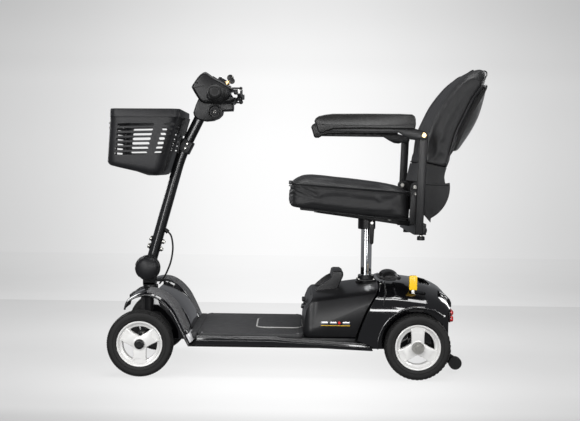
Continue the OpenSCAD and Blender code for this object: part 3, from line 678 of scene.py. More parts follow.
def screw_head(r=5.0, h=3.0, hexed=True):
    bm = bmesh.new()
    bmesh.ops.create_cone(bm, cap_ends=True, segments=20, radius1=r, radius2=r * 0.92, depth=h)
    bmesh.ops.translate(bm, verts=bm.verts, vec=(0, 0, h / 2))
    top = max(bm.faces, key=lambda f: f.calc_center_median().z)
    r1 = bmesh.ops.inset_individual(bm, faces=[top], thickness=r * 0.42)
    top = max(bm.faces, key=lambda f: (f.calc_center_median().z, -f.calc_area()))
    inner = min((f for f in bm.faces if f.normal.z > 0.9), key=lambda f: f.calc_area() + 1e3 * f.calc_center_median().xy.length)
    bmesh.ops.translate(bm, verts=inner.verts, vec=(0, 0, -h * 0.5))
    return from_bm("unit", bm, "zinc")

def arc(cx, cz, r, a0, a1, n):
    return [(cx + r * cos(radians(a0 + (a1 - a0) * i / n)), cz + r * sin(radians(a0 + (a1 - a0) * i / n))) for i in range(n + 1)]

# ---------------------------------------------------------------- wheels
def wheel(x, side, tag, front):
    """side -1 is the rider's left"""
    c, ax = (x, side * WY, FZ), (0, side, 0)
    body = "wheel_" + tag
    hb = [(69, -21), (71, -22.8), (75, -24), (78.4, -24.4), (79.2, -23.6), (80.4, -23.5), (81.4, -24.6), (88, -25),
          (93, -24.2), (95.6, -22.4), (97, -19.6), (97.6, -12)]
    prof = hb + [(97.7, 0)] + [(r, -h) for r, h in reversed(hb)]
    tyre = lathe("tyre_" + tag, prof + [prof[0]], c, ax, "tyre", body, ("tyre_" + tag,), "tyre_black", 96)
    a, u, v = basis(ax)
    rows = []
    if front:
        for i in range(84):
            for h, off in ((-19.8, 0), (19.8, 0.5)):
                rows.append((2 * pi * (i + off) / 84, h, 0.35 if h < 0 else -0.35))
        unit = unit_block(10.5, 4.6, 2.6, 0.5)
        rows += []
    else:
        for i in range(46):
            for h, off in ((-19.2, 0), (19.2, 0.5), (-6.4, 0.5), (6.4, 0)):
                rows.append((2 * pi * (i + off) / 46, h, 0.25 * (1 if h > 0 else -1)))
        unit = unit_block(10.8, 8.6, 2.9, 0.8, 0.86)
    pl = []
    for t, h, tw in rows:
        d = u * cos(t) + v * sin(t)
        tang = a.cross(d)
        lean = 0.32 * (h / 20) ** 3
        z = (d * cos(lean) + a * sin(lean))
        pl.append(place(Vector(c) + d * (97.0 - (1.2 if abs(h) > 15 else 0)) + a * h, z, a * cos(tw) + tang * sin(tw)))
    scatter("tread_" + tag, unit, pl, "tyre", body, slot="tyre_black")
    if front:
        ribs = []
        for h in (-9, -3, 3, 9):
            ribs.append(lathe("r", [(97.2, h - 2.2), (99.6, h - 1.8), (99.8, h + 1.8), (97.2, h + 2.2)], c, ax, "tyre", n=96))
        weld("tread_ribs_" + tag, ribs, body, slot="tyre_black")
    # rim: lip, dish, barrel, hub and three broad spokes
    parts = []
    ring = [(69, 20.5), (68.7, 22.6), (67.2, 23.4), (64.6, 23.0), (62.4, 20.8), (60.6, 17.0), (57.5, 15.0), (53.6, 13.6), (52.2, 11.6),
            (52, -4), (56, -9), (62, -14), (64, -21), (68.8, -21)]
    parts.append(lathe("r", ring + [ring[0]], c, ax, "rim", n=72))
    parts.append(lathe("r", [(8.5, -20), (19, -20), (21, -6), (23, 10), (23, 16), (21, 18.4), (17.6, 19.0), (8.5, 19.0), (8.5, -20)], c, ax, "rim", n=40))
    def at(k, r, w, h):
        t = radians((-90 if front else 90) + 120 * k)
        return Vector(c) + Vector((r * cos(t) - w * sin(t), side * h, r * sin(t) + w * cos(t)))
    for k in range(3):
        out = [(4, -19.6), (32, -19.0), (48, -20.4), (58.5, -22.4), (60.8, -12), (61.4, 0), (60.8, 12), (58.5, 22.4), (48, 20.4), (32, 19.0), (4, 19.6)]
        bm = bmesh.new()
        top = [bm.verts.new(at(k, r, w, 18.4 if r < 56 else 17.2)) for r, w in out]
        bot = [bm.verts.new(at(k, r, w, 2.0)) for r, w in out]
        f0 = bm.faces.new(top)
        bm.faces.new(bot[::-1])
        for i in range(len(out)):
            bm.faces.new((top[i], bot[i], bot[(i + 1) % len(out)], top[(i + 1) % len(out)]))
        bmesh.ops.recalc_face_normals(bm, faces=bm.faces)
        bevel(bm, 1.8, 3, 15, lambda e: f0 in e.link_faces)
        sp = from_bm("spoke", bm, "rim")
        q = [(44.5, -14.5), (57.5, -15.8), (59, 0), (57.5, 15.8), (44.5, 14.5)]
        bm = bmesh.new()
        A = [bm.verts.new(at(k, r, w, 16.0)) for r, w in q]
        B = [bm.verts.new(at(k, r, w, 24)) for r, w in q]
        bm.faces.new(A)
        bm.faces.new(B[::-1])
        for i in range(5):
            bm.faces.new((A[i], B[i], B[(i + 1) % 5], A[(i + 1) % 5]))
        bmesh.ops.recalc_face_normals(bm, faces=bm.faces)
        bevel(bm, 2.4, 3, 60, lambda e: abs(e.verts[0].co.y - e.verts[1].co.y) > 2)
        parts.append(cut(sp, from_bm("c", bm, "rim")))
    weld("rim_" + tag + "_cast", parts, body, ("rim_" + tag,), "rim_white")
    return c, ax, body

for side, nm in ((-1, "left"), (1, "right")):
    c, ax, body = wheel(FX, side, "front_" + nm, True)
    lathe("hub_cover_" + nm, [(0, 26.5), (5.5, 26.5), (6.2, 29.5), (8, 30.6), (12, 30.2), (14.4, 28.4), (15, 25.2), (15, 20.3),
          (10.5, 20.3), (10.5, 25.2), (0, 25.2)], c, ax, "satin", body, ("hub_cap_" + nm,), "satin_black", 40)
    c, ax, body = wheel(RX, side, "rear_" + nm, False)
    lathe("axle_washer_" + nm, [(8.2, 20.5), (17.6, 20.5), (18.2, 21.4), (18.2, 23.4), (17.2, 24.4), (13.5, 24.6), (12.6, 23.2), (9.4, 23.2),
          (8.2, 24)], c, ax, "satin", body, (), "satin_black", 40)
    lathe("axle_ring_" + nm, [(13.4, 24.2), (17.0, 24.2), (17.0, 25.2), (15.2, 25.8), (13.4, 25.2)], c, ax, "zinc", body, (), "zinc", 40)
    lathe("axle_bolt_" + nm, [(0, 30.2), (3.4, 30.2), (3.6, 26.5), (4.8, 26.5), (5, 32.6), (8.0, 33), (9.2, 31.6), (9.2, 20), (0, 20)],
          c, ax, "dark_steel", body, (), "zinc", 6, sharp=20)

# ---------------------------------------------------------------- front fenders
EDGE = [(-319, 95), (-330, 115), (-345, 144), (-359, 173), (-373, 198), (-390, 218.5), (-407, 233), (-426, 243), (-449, 247.5), (-474, 244),
        (-494, 236), (-508, 224), (-514, 212), (-516, 202)]
RISE = [10, 13, 15, 15, 15, 14.5, 14, 13, 11, 8, 5, 4, 3, 1]

def fender_line(k=3):
    """edge of the arch: position, outward normal and rise of the crown"""
    P = spl([(a, r, b) for (a, b), r in zip(EDGE, RISE)], k)
    out = []
    for i, p in enumerate(P):
        a, b = P[max(0, i - 1)], P[min(len(P) - 1, i + 1)]
        t = Vector((b.x - a.x, b.z - a.z)).normalized()
        out.append((Vector((p.x, p.z)), Vector((t.y, -t.x)), p.y))
    return out

def fender(side, nm):
    line = fender_line()
    n = len(line)
    def sec(i, lift=0.0, w0=0.0, w1=1.0, k=22):
        p, nn, c = line[i]
        row = []
        for q in range(k + 1):
            w = w0 + (w1 - w0) * q / k
            e = abs(2 * w - 1)
            h = c * (1 - e ** 5) + 1 + lift
            row.append(Vector((p.x + nn.x * h, side * (115.5 + w * 117.5), p.y + nn.y * h)))
        return row
    rows = []
    for i in range(n):
        p, nn, c = line[i]
        lip = [Vector((p.x + nn.x * h, side * y, p.y + nn.y * h)) for y, h in ((234.2, 0.2), (234.8, -1.5), (234.6, -4))]
        rows.append(sec(i) + lip)
    loft("fender_skin_" + nm, rows, "gloss", "frame", ("front_fenders",) if side < 0 else (), "gloss_black", thick=2.6 * (1 if side < 0 else -1), sharp=50)
    sweep("fender_bead_" + nm, [(p.x - nn.x * 1.6, side * 234.2, p.y - nn.y * 1.6) for p, nn, c in line], 2.9, "gloss", "frame", slot="gloss_black")
    top = max(i for i in range(n) if line[i][0].x > -452)
    loft("fender_grip_" + nm, [sec(i, 1.5, 0.035, 0.965, 18) for i in range(5, top + 1)], "speckle", "frame", (), "mat_rubber",
         thick=1.3 * (1 if side < 0 else -1))
    rings = []
    for i, h in ((1, 4.0), (3, 4.4), (4, 2.4)):
        a, b = sec(i, h, 0.04, 0.96, 10), sec(i, -0.6, 0.04, 0.96, 10)
        rings.append(a + b[::-1])
    loft("fender_reflector_" + nm, rings, "reflector", "frame", (), "grey_plastic", ring=True, caps=True, sharp=30)
    wall = [(p.x + nn.x * 1.0, p.y + nn.y * 1.0) for p, nn, c in line if p.x > -449]
    wall += [(-448, 132), (-408, 132), (-404, 96)]
    extr("fender_wall_" + nm, wall, *sorted((side * 114.4, side * 119)), "gloss", "frame", (), "gloss_black", w=0, cap=1.0, seg=2)

for side, nm in ((-1, "left"), (1, "right")):
    fender(side, nm)
cowl = []
for i in range(13):
    a = radians(4 + i * 6.1)
    cowl.append([Vector((FX + (144 + 4 * (1 - (abs(y) / 116) ** 3)) * cos(a), y, FZ + (144 + 4 * (1 - (abs(y) / 116) ** 3)) * sin(a))) for y in range(-115, 116, 10)])
loft("front_cowl", cowl, "gloss", "frame", (), "gloss_black", thick=-3.0, sharp=50)
for s in (-1, 1):
    sweep("cowl_seam_%d" % (s + 1), [(FX + 146 * cos(radians(a)), s * 112, FZ + 146 * sin(radians(a))) for a in range(5, 78, 4)], 1.6, "gloss", "frame", slot="gloss_black")
# lift loop in front of the head tube
b0, b1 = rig.box("front_lift_handle")
lx, lz = b0.x / MM + 7, b0.z / MM + 7
path = spl([(-499, -45, 234), (-508, -45, 230), (lx + 4, -44, lz + 3), (lx, -36, lz), (lx, -15, lz), (lx, 15, lz), (lx, 36, lz), (lx + 4, 44, lz + 3),
            (-508, 45, 230), (-499, 45, 234)], 5)
sweep("lift_loop", path, 6.6, "paint", "frame", ("front_lift_handle",), "frame_steel", up=(0.3, 0.1, 1))
sweep("lift_loop_sleeve", [(lx, y, lz) for y in range(-30, 31, 5)], 7.8, "grip", "frame", slot="grip_rubber", up=(0, 0, 1))

# ---------------------------------------------------------------- floor
def rounded(x0, x1, y0, y1, r, k=6):
    out = []
    for cx, cy, a in ((x1 - r, y1 - r, 0), (x0 + r, y1 - r, 90), (x0 + r, y0 + r, 180), (x1 - r, y0 + r, 270)):
        out += [(cx + r * cos(radians(a + 90 * i / k)), cy + r * sin(radians(a + 90 * i / k))) for i in range(k + 1)]
    return out

def plate(name, out, z0, z1, mat, body, stands=(), slot=None, w=1.0, seg=2):
    bm = slab(out, z0, z1, w, seg, cap=w, frame3=lambda a, b, z: Vector((a, b, z)))
    return from_bm(name, bm, mat, body, stands, slot)

m0, m1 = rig.box("deck_mat")
mx0, mx1, my = m0.x / MM, m1.x / MM, m1.y / MM
plate("floor_mat", rounded(mx0, mx1, -my - 8, my + 8, 16), 119, 131, "mat", "frame", ("deck_mat",), "mat_rubber", 2.0)
for s in (-1, 1):
    y = s * 224.5
    top = [(-299, 120.5), (-78, 120.5), (-52, 119.3), (-30, 116.6), (226, 103)]
    low = [(236, 84.5), (-66, 97.5), (-299, 97.5)]
    extr("floor_rail_%s" % ("left" if s < 0 else "right"), top + low, *sorted((s * 207, s * 229)), "gloss", "frame",
         ("deck_pan",) if s < 0 else (), "gloss_black", w=3.2, seg=4)
    P = [(x, s * 220.5, z + 0.6) for x, z in top]
    sweep("floor_rail_bead_%d" % (s + 1), spl(P, 4), [(3.2 * cos(t * pi / 6), 2.4 * sin(t * pi / 6)) for t in range(12)], "gloss", "frame", slot="gloss_black")
    Q = [(-297, s * 229.4, 110.5), (-70, s * 229.4, 110.5), (-40, s * 229.4, 108.5), (226, s * 229.4, 95)]
    sweep("floor_rail_line_%d" % (s + 1), Q, 1.2, "gloss", "frame", slot="gloss_black")
block("floor_tray", (-299, -207.2, 97), (183, 207.2, 118.7), "satin", "frame", 1.5, slot="gloss_black")
pan = rounded(-122, 22, -99, 99, 30)
plate("floor_panel_bezel", rounded(-124, 24, -101, 101, 32), 131, 134.2, "grey", "frame", (), "grey_plastic", 1.2)
plate("floor_panel", rounded(-119, 22, -96, 96, 28), 132, 135.0, "panel", "frame", (), "mat_rubber", 0.8)
sw = []
for x in (-284, 8):
    for y in (-200, 200):
        sw.append(place((x, y, 130.6), (0, 0, 1)))
scatter("floor_mat_studs", screw_head(4.5, 2.2), sw, "dark_steel", "frame", slot="zinc")


# rubber toe between the mat and the front cowl
plate("deck_toe", rounded(-321, -297.6, -204, 204, 9), 112, 130.6, "mat", "frame", (), "mat_rubber", 1.2)

# ---------------------------------------------------------------- battery pack
def crease1(x): return 228 + (x - 49) * 0.140
def crease2(x): return 150 + max(0, x - 60) * 0.47
rows = []
for x in [24.8, 26, 30, 36, 44, 56, 72, 95, 120, 150, 180, 210, 240, 270]:
    t = max(0.0, 1 - (x - 24.8) / 32)
    inn = 14 * t ** 2.2
    drop = 16 * t ** 2
    z1, z2 = crease1(x) - drop * 1.3, min(crease2(x), crease1(x) - 14) - drop * 0.3
    half = [(188 - inn, 119.6), (202.5 - inn, 122.5), (205 - inn, 132), (205 - inn, max(134, z2 - 2)), (204.4 - inn, z2 + 1), (198.5 - inn, z1 - 2),
            (197.4 - inn, z1), (195 - inn, z1 + 1.6), (186 - inn, z1 + 5.5), (165 - inn, z1 + 10.5), (120, z1 + 15), (60, z1 + 18), (0, z1 + 19)]
    row = [Vector((x, -y, z)) for y, z in half] + [Vector((x, y, z)) for y, z in half[-2::-1]]
    rows.append(row)
pack = loft("battery_shell", rows, "shell", ring=True, caps=True, sharp=24)
rear = [(262, 281), (257, 272), (241.5, 250), (223.5, 220), (208.5, 190), (196.5, 160), (187.5, 135), (183, 119)]
keep = spl([(p[0], 0, p[1]) for p in rear], 3)
front = [(26, 100), (24, 131), (27.5, 170), (33, 200), (42, 222), (52, 237), (60, 300)]
outline = [(p.x, p.z) for p in keep] + [(183, 100)] + front
cutter = from_bm("c", slab(outline, -260, 260, 0), "shell")
pack = cut(pack, cutter, op="INTERSECT")
notch = block("c", (194, -32, 90), (300, 32, 330), "shell", w=0)
pack = cut(pack, notch)
pack = finish_piece(pack, "battery", ("battery_pack",), "satin_black", 24)
# carry handle: a hood of two side walls and a top bar, open to the front
side_w = [(47, 232), (58, 245), (70, 258), (86, 272), (101, 283), (113, 289), (117, 307), (124, 310), (143, 310), (150.5, 305), (150.5, 296),
          (148, 289), (131, 251)]
hood = from_bm("carry_handle", slab(side_w, -73, 73, 0, 4, cap=3.0), "satin")
hood = cut(hood, from_bm("c", slab([(20, 240), (52, 243.5), (70, 262), (88, 277), (101, 286.5), (115, 290.5), (143, 290.5), (134, 262), (128, 244)], -63, 63, 5, 3), "satin"))
finish_piece(hood, "battery", (), "satin_black", 30)
for s in (-1, 1):
    # generic badge: three slim bars and a round stud on the side
    y = s * 205.2
    zb, xb = 166, 78
    for k in range(3):
        block("badge_bar_%d_%d" % (s + 1, k), (xb + k * 27 + (12 if k > 1 else 0), min(y, y + s * 1.2), zb - 3.4), (xb + k * 27 + 21 + (12 if k > 1 else 0), max(y, y + s * 1.2), zb + 3.4), "badge", "battery", 0.8, slot="grey_plastic")
    lathe("badge_stud_%d" % (s + 1), [(0, 0), (4.2, 0), (4.2, 1.2), (3.2, 2), (0, 2.2)], (xb + 55.5, y, zb), (0, s, 0), "badge_red", "battery", n=28, slot="lens_red")
    block("badge_line_%d" % (s + 1), (xb, min(y, y + s * 0.8), zb - 9), (xb + 88, max(y, y + s * 0.8), zb - 7.6), "yellow", "battery", 0.3, slot="lever_yellow")
# latch, charge socket and front kick plate
lathe("battery_plug", [(0, 0), (7, 0), (8, 2), (8, 7), (6, 9), (3.5, 9), (3.2, 5), (0, 5)], (27.5, -60, 196), (-1, 0, 0.18), "dark_steel", "battery", n=28, slot="zinc")
block("battery_latch", (21.5, -20, 205), (33, 20, 217), "satin", "battery", 2.5, slot="satin_black")
lathe("battery_key_nub", [(0, 0), (5.5, 0), (5.5, 6), (4, 8), (0, 8)], (33, -128, 214), (-1, 0, 0.5), "satin", "battery", n=24, slot="satin_black")
for s in (-1, 1):
    block("battery_foot_%d" % (s + 1), (23.8, s * 150 - 38, 121), (31, s * 150 + 38, 129), "tray", "battery", 1.2, slot="zinc")

# ---------------------------------------------------------------- rear shroud
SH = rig.box("rear_shroud")[1].y / MM
TOPZ = [(170, 291), (300, 291), (340, 287.5), (400, 280.5), (440, 270), (458, 260), (468, 248), (474, 236)]

def top_at(x):
    for (a, za), (b, zb) in zip(TOPZ, TOPZ[1:]):
        if x <= b:
            return za + (zb - za) * max(0, x - a) / (b - a)
    return TOPZ[-1][1]

def crown_row(x, d=0.0):
    z, w = top_at(x) - d, SH - 0.5 - d
    half = spl([(w, 0, 84), (w, 0, 112), (w, 0, z - 90), (w - 7, 0, z - 61), (w - 23, 0, z - 42), (w - 49, 0, z - 26), (w - 89, 0, z - 12.5), (w - 139, 0, z - 4), (0, 0, z)], 3)
    pts = [(p.x, p.z) for p in half]
    return [Vector((x, -y, zz)) for y, zz in pts] + [Vector((x, y, zz)) for y, zz in pts[-2::-1]]

def crowned(name, xs, d=0.0):
    return loft(name, [crown_row(x, d) for x in xs], "gloss", ring=True, caps=True, sharp=40)

XS = list(range(180, 300, 12)) + list(range(300, 476, 8)) + [474]
outer = spl([(187, 0, 119), (191.5, 0, 136), (200.5, 0, 161), (212.5, 0, 191), (227.5, 0, 221), (245.5, 0, 251), (262, 0, 275), (272, 0, 292)], 3)
outline = [(p.x, p.z) for p in outer] + [(300, 320), (420, 320), (452, 290), (464, 262), (470.5, 246), (471, 232), (470, 219), (447, 193), (447, 110), (420, 85), (264, 85), (229, 103)]
sh = crowned("rear_shell", XS)
sh = cut(sh, from_bm("c", slab(outline, -260, 260, 0), "gloss"), op="INTERSECT")
for s in (-1, 1):
    sh = cut(sh, lathe("c", [(0, 0), (119.5, 0), (119.5, 80), (0, 80)], (RX, s * 184, RZ), (0, s, 0), "gloss", n=96))
inner = crowned("c1", list(range(184, 470, 14)) + [468], 5)
keep_in = [(p.x + 5, p.z - 4) for p in outer] + [(300, 315), (450, 300), (463, 246), (464, 120), (464, 60), (250, 60), (206, 119)]
inner = cut(inner, from_bm("c", slab(keep_in, -178, 178, 0), "gloss"), op="INTERSECT")
sh = cut(sh, inner)
sh = cut(sh, block("c", (170, -33, 90), (261, 33, 320), "gloss", w=0))
sh = cut(sh, block("c", (170, -112, 50), (352, 112, 97.5), "gloss", w=0))
sh = cut(sh, from_bm("c", slab(rounded(345, 396, -200, -180, 9), 200, 330, 0, frame3=lambda a, b, z: Vector((a, b, z))), "gloss"))
# hand slot on top behind the lever
sh = cut(sh, from_bm("c", slab(rounded(388, 424, -92, 92, 17), 255, 330, 0, frame3=lambda a, b, z: Vector((a, b, z))), "gloss"))
finish_piece(sh, "frame", ("rear_shroud",), "gloss_black", 33)
tray = [(384, 240), (430, 240), (430, 268.5), (424, 270), (420, 244), (392, 244), (388, 277), (384, 276.5)]
extr("hand_slot_tray", tray, -94, 94, "satin", "frame", (), "satin_black", w=0.6, seg=1)
sweep("hand_slot_rim", [(x, y, top_at(x) - 12.5 * (abs(y) / 160) ** 2.4 + 0.3) for x, y in rounded(387, 425, -93, 93, 18)], 1.5, "gloss", "frame", slot="gloss_black", closed=True, up=(0, 0, 1))
back = [(440, 262), (462, 250.5), (472, 240), (477.5, 228), (478, 216), (470.5, 209), (470.5, 130), (465, 122), (440, 122)]
extr("rear_panel", back, -177, 177, "gloss", "frame", (), "gloss_black", w=0, cap=7, seg=4)
for s in (-1, 1):
    fl = [(RX + 121.5 * cos(radians(a)), s * (SH - 1.8), RZ + 121.5 * sin(radians(a))) for a in range(181, 50, -4)]
    sweep("arch_lip_%d" % (s + 1), fl, [(3.8 * cos(t * pi / 6), 3.4 * sin(t * pi / 6)) for t in range(12)], "gloss", "frame", slot="gloss_black")
    # vertical recess behind the battery
    g = [crown_row(282)[8 + i] if s < 0 else crown_row(282)[-(9 + i)] for i in range(0, 13)]
    sweep("shroud_groove_%d" % (s + 1), [Vector((p.x - (12 - i) * 1.6 if i < 6 else p.x - 9.6 + (i - 6) * 0.4, p.y, p.z + 0.2)) for i, p in enumerate(g)], 2.0, "satin", "frame", slot="satin_black")
    w = [(RX + 119 * cos(radians(a)), RZ + 119 * sin(radians(a))) for a in range(180, 50, -6)]
    extr("wheel_well_%d" % (s + 1), w + [(RX + 60, 150), (RX + 30, 132), (RX - 30, 132), (RX - 60, 88)], *sorted((s * 183.5, s * 180.5)), "satin", "frame", slot="satin_black", w=0)
# domed lift handle
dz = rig.box("shroud_handle")
hx0, hx1, hz1, hy = dz[0].x / MM, dz[1].x / MM, dz[1].z / MM, dz[1].y / MM
rows = []
for q in range(17):
    y = -hy + 2 * hy * q / 16
    k = max(0.0, 1 - (abs(y) / (hy + 1)) ** 4) ** 0.5
    rows.append([Vector(((hx0 + hx1) / 2 + (hx1 - hx0) / 2 * cos(radians(a)) * (0.55 + 0.45 * k), y, 287.5 + (hz1 - 287.5) * sin(radians(a)) * (0.25 + 0.75 * k))) for a in range(0, 181, 12)])
hd = loft("shroud_lift_handle", rows, "satin", ring=True, caps=True, sharp=50)
hd = cut(hd, block("c", (250, -46, 280), (350, 46, hz1 - 8.5), "satin", w=3))
finish_piece(hd, "frame", ("shroud_handle",), "satin_black", 40)
plate("shroud_handle_base", rounded(hx0 - 5, hx1 + 5, -hy - 5, hy + 5, 22), 285.5, 290.6, "satin", "frame", (), "satin_black", 1.4)
# freewheel lever: yellow paddle on a bright steel stem
yl = [(345.5, 268), (369, 268), (369.5, 309), (366.5, 312), (348, 312), (345, 309)]
extr("freewheel_paddle", yl, -197, -183, "yellow", "freewheel", ("freewheel_lever",), "lever_yellow", w=2.4, seg=3)
extr("freewheel_stem", [(352, 246), (362, 246), (362, 270), (352, 270)], -193, -187, "zinc", "freewheel", (), "zinc", w=1.2)
lathe("freewheel_pivot", [(0, -7.6), (4, -7.6), (4, -6), (8, -6), (8, 6), (4, 6), (4, 14), (0, 14)], (357, -190, 252), (0, 1, 0), "zinc", "freewheel", n=24, slot="zinc")
ribs = [place((357.4, -197.1, 291 + 4.2 * i), (0, -1, 0), (1, 0, 0)) for i in range(5)]
scatter("freewheel_ribs", unit_block(18, 1.6, 0.8, 0.3), ribs, "yellow", "freewheel", slot="lever_yellow")
# tail lamps
tl0, tl1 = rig.box("tail_lights")
lx0, lx1, ly, lz0, lz1 = tl0.x / MM, tl1.x / MM, tl1.y / MM, tl0.z / MM, tl1.z / MM
for s in (-1, 1):
    y0, y1 = sorted((s * (ly - 60), s * ly))
    bm = slab(rounded(y0 - 1, y1 + 1, lz0 - 1, lz1 + 1, 11), lx0, lx0 + 7, 1.5, 3, cap=1.5, frame3=lambda a, b, x: Vector((x, a, b)))
    from_bm("lamp_base_%d" % (s + 1), bm, "satin", "frame", (), "satin_black")
    for k, (za, zb) in enumerate(((lz0 + 1.5, lz0 + 20), (lz0 + 22, lz1 - 1.5))):
        bm = slab(rounded(y0 + 2, y1 - 2 * 0 + 1.2 if s > 0 else y1 - 2, za, zb, 7) if s > 0 else rounded(y0 - 1.2, y1 - 2, za, zb, 7), lx0 + 3, lx1, 3, 4, cap=4, frame3=lambda a, b, x: Vector((x, a, b)))
        from_bm("lamp_lens_%d_%d" % (s + 1, k), bm, "lens", "frame", ("tail_lights",) if s < 0 and k == 0 else (), "lens_red")

# ---------------------------------------------------------------- tiller
path = [Vector((PX, 0, PZ - 2))]
B, T, P0 = Vector((BEND[0], 0, BEND[1])), Vector((TOP[0], 0, TOP[1])), Vector((PX, 0, PZ))
u1 = (B - P0).normalized()
path += [P0 + u1 * d for d in range(20, int((B - P0).length) - 50, 30)]
a, b = B - u1 * 42, B + U2 * 42
path += [a * (1 - t) ** 2 + B * 2 * t * (1 - t) + b * t * t for t in [i / 12 for i in range(13)]]
path += [B + U2 * d for d in range(60, 172, 20)]
sweep("tiller_pipe", path, [(17 * cos(t * pi / 20), 17 * sin(t * pi / 20)) for t in range(40)], "tiller", "tiller", ("tiller_tube",), "tiller_paint")
lathe("tiller_eye", [(0, -19), (15.5, -19), (16.5, -18), (16.5, 18), (15.5, 19), (0, 19)], (PX, 0, PZ), (0, 1, 0), "tiller", "tiller", n=40, slot="tiller_paint")
nrm = Vector((u1.z, 0, -u1.x))
for i, z in enumerate((372, 396)):
    c = P0 + u1 * ((z - PZ) / u1.z)
    lathe("cross_bolt_%d" % i, [(0, -25), (6.5, -25), (8, -23.5), (8, -18.5), (8.6, -17.8), (4, -17), (4, 17), (8.4, 17.2), (8.4, 18.4), (7.4, 18.6)] +
          [(7.4, 23), (6.6, 24.2), (4, 24.2), (4, 26.6), (3.2, 27), (0, 27)], c, tuple(nrm), "zinc", "tiller", ("tiller_bolts",) if i == 0 else (), "zinc", n=6 * 4)
    lathe("cross_bolt_collar_%d" % i, [(4.2, -18.3), (10, -18.3), (10.4, -17.6), (10.4, -15.5), (4.2, -15.5)], c, tuple(nrm), "satin", "tiller", n=28, slot="satin_black")
# pivot knob
kn = [(0, 27), (15, 27), (17, 29), (18, 34), (33, 37), (37.5, 39.5), (39.6, 44), (39.8, 50), (39, 57), (36, 64), (30.5, 70.5), (22, 75), (11, 77.4), (0, 78)]
lathe("tiller_knob_body", [(r, -z) for r, z in kn], (PX, 0, PZ), (0, 1, 0), "console", "tiller_knob", ("tiller_knob",), "satin_black", n=96)
lathe("tiller_knob_disc", [(0, -77.2), (8, -77.4), (13, -76.4), (13.6, -75.2), (0, -75)], (PX, 0, PZ), (0, 1, 0), "satin", "tiller_knob", n=40, slot="satin_black")
studs = []
for j in range(4):
    yy, rr = [(-67.5, 33.5), (-62.7, 36.8), (-57.6, 38.8), (-52.2, 39.6)][j]
    nz = [0.75, 0.5, 0.28, 0.1][j]
    for k in range(72):
        if k % 12 in (10, 11):
            continue
        g = radians(k * 5 + (2.5 if j % 2 else 0))
        d = Vector((cos(g), 0, sin(g)))
        studs.append(place((PX + rr * d.x, yy, PZ + rr * d.z), tuple(d * (1 - nz) + Vector((0, -nz, 0))), (0, 1, 0)))
scatter("tiller_knob_studs", unit_block(2.3, 2.3, 1.5, 0.5, 0.55), studs, "satin", "tiller_knob", slot="satin_black")
lathe("pivot_bolt_end", [(0, 26), (9.4, 26), (10, 27), (10, 31.4), (8.8, 33), (5, 33), (5, 35.5), (0, 36)], (PX, 0, PZ), (0, 1, 0), "zinc", BODY["pivot_bolt"], ("pivot_bolt",), "zinc", n=24)
# steering stem and clevis
SB = BODY["steering_stem"]
lathe("stem_tube", [(0, 118), (13, 118), (14, 119), (14, 240), (23, 240.5), (24, 242), (24, 251), (23, 252.5), (0, 252.5)], (FX, 0, 0), (0, 0, 1), "paint", SB, ("steering_stem",), "frame_steel", n=48)
extr("stem_saddle", [(-490, 252), (-451, 252), (-451, 262), (-490, 262)], -26, 26, "paint", SB, slot="frame_steel", w=2)
for s in (-1, 1):
    ear = [(-490, 254), (-451, 254)] + [(PX + 0.5 + 19.5 * cos(radians(a)), PZ + 19.5 * sin(radians(a))) for a in range(0, 181, 12)]
    extr("stem_ear_%d" % (s + 1), ear, *sorted((s * 20, s * 26)), "paint", SB, slot="frame_steel", w=1.4, cap=1.0, seg=2)
extr("stem_arm", [(FX, 120.5), (FX + 60, 120.5), (FX + 60, 128.5), (FX, 128.5)], -9, 9, "paint", SB, slot="frame_steel", w=1.6)
# cable from stem to tiller
cp = [(-418, 0, 426), (-405, 0, 413), (-399, 0, 390), (-398, 0, 362), (-404, 0, 326), (-415, 0, 296), (-425, 0, 276), (-434, 0, 262), (-440, 0, 254)]
def cable(name, pts, stands=()):
    cb = sweep(name, spl(pts, 8), 2.9 if stands else 2.0, "cable", None, (), None)
    if stands:
        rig.replaces(cb, *stands)
    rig.slot(cb, "cable_rubber")
    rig.blend(cb, "tiller", SB, cb_hi, cb_lo)
cb_lo, cb_hi = (-0.440, 0.0, 0.254), (-0.418, 0.0, 0.426)
cable("control_cable", cp, ("tiller_cable",))
lathe("cable_gland", [(3.2, -5), (6.5, -5), (7, -4), (7, 3), (5.4, 8), (4, 12), (3.2, 12)], (-417, 0, 425), (-0.7, 0, 0.7), "cable", "tiller", n=24, slot="cable_rubber")

# ---------------------------------------------------------------- console
X3 = Vector((DASH.z, 0, -DASH.x))
DB = Vector((-205, 0, 881))
def on_dash(a, y, h=0.0):
    """point on the raked dash: a up the slope from its foot"""
    return DB - X3 * a + Vector((0, y, 0)) + DASH * h

head = [(-336, 884), (-333.5, 890), (-327, 900), (-319, 912), (-309, 923), (-300, 929.5), (-293, 932), (-288, 930.5), (-281, 926), (-272, 919.3), (-258, 911.5),
        (-243, 904), (-231, 897), (-222, 891.5), (-212, 885.5), (-206, 881), (-200, 876), (-196, 869), (-195.5, 858), (-197.5, 845), (-204, 838), (-215, 834.5),
        (-262, 834), (-300, 835), (-309, 841), (-319, 855), (-330, 873)]
hd = from_bm("hd", slab(head, -75, 75, 3.5, 4, cap=9), "shell")
nk = extr("c", [(-334, 806), (-331, 796), (-324, 788), (-312, 782), (-292, 779), (-270, 781.5), (-252, 789), (-241, 800), (-238, 812), (-207, 813.5), (-205.5, 822),
                (-205.5, 836), (-220, 845), (-300, 852), (-318, 850), (-326, 832)], -25.5, 25.5, "shell", w=5, seg=3, cap=5)
hd = cut(hd, nk, op="UNION")
hd = cut(hd, extr("c", [(-218, 853), (-180, 853), (-180, 878), (-218, 878)], -120, 120, "shell", w=0))
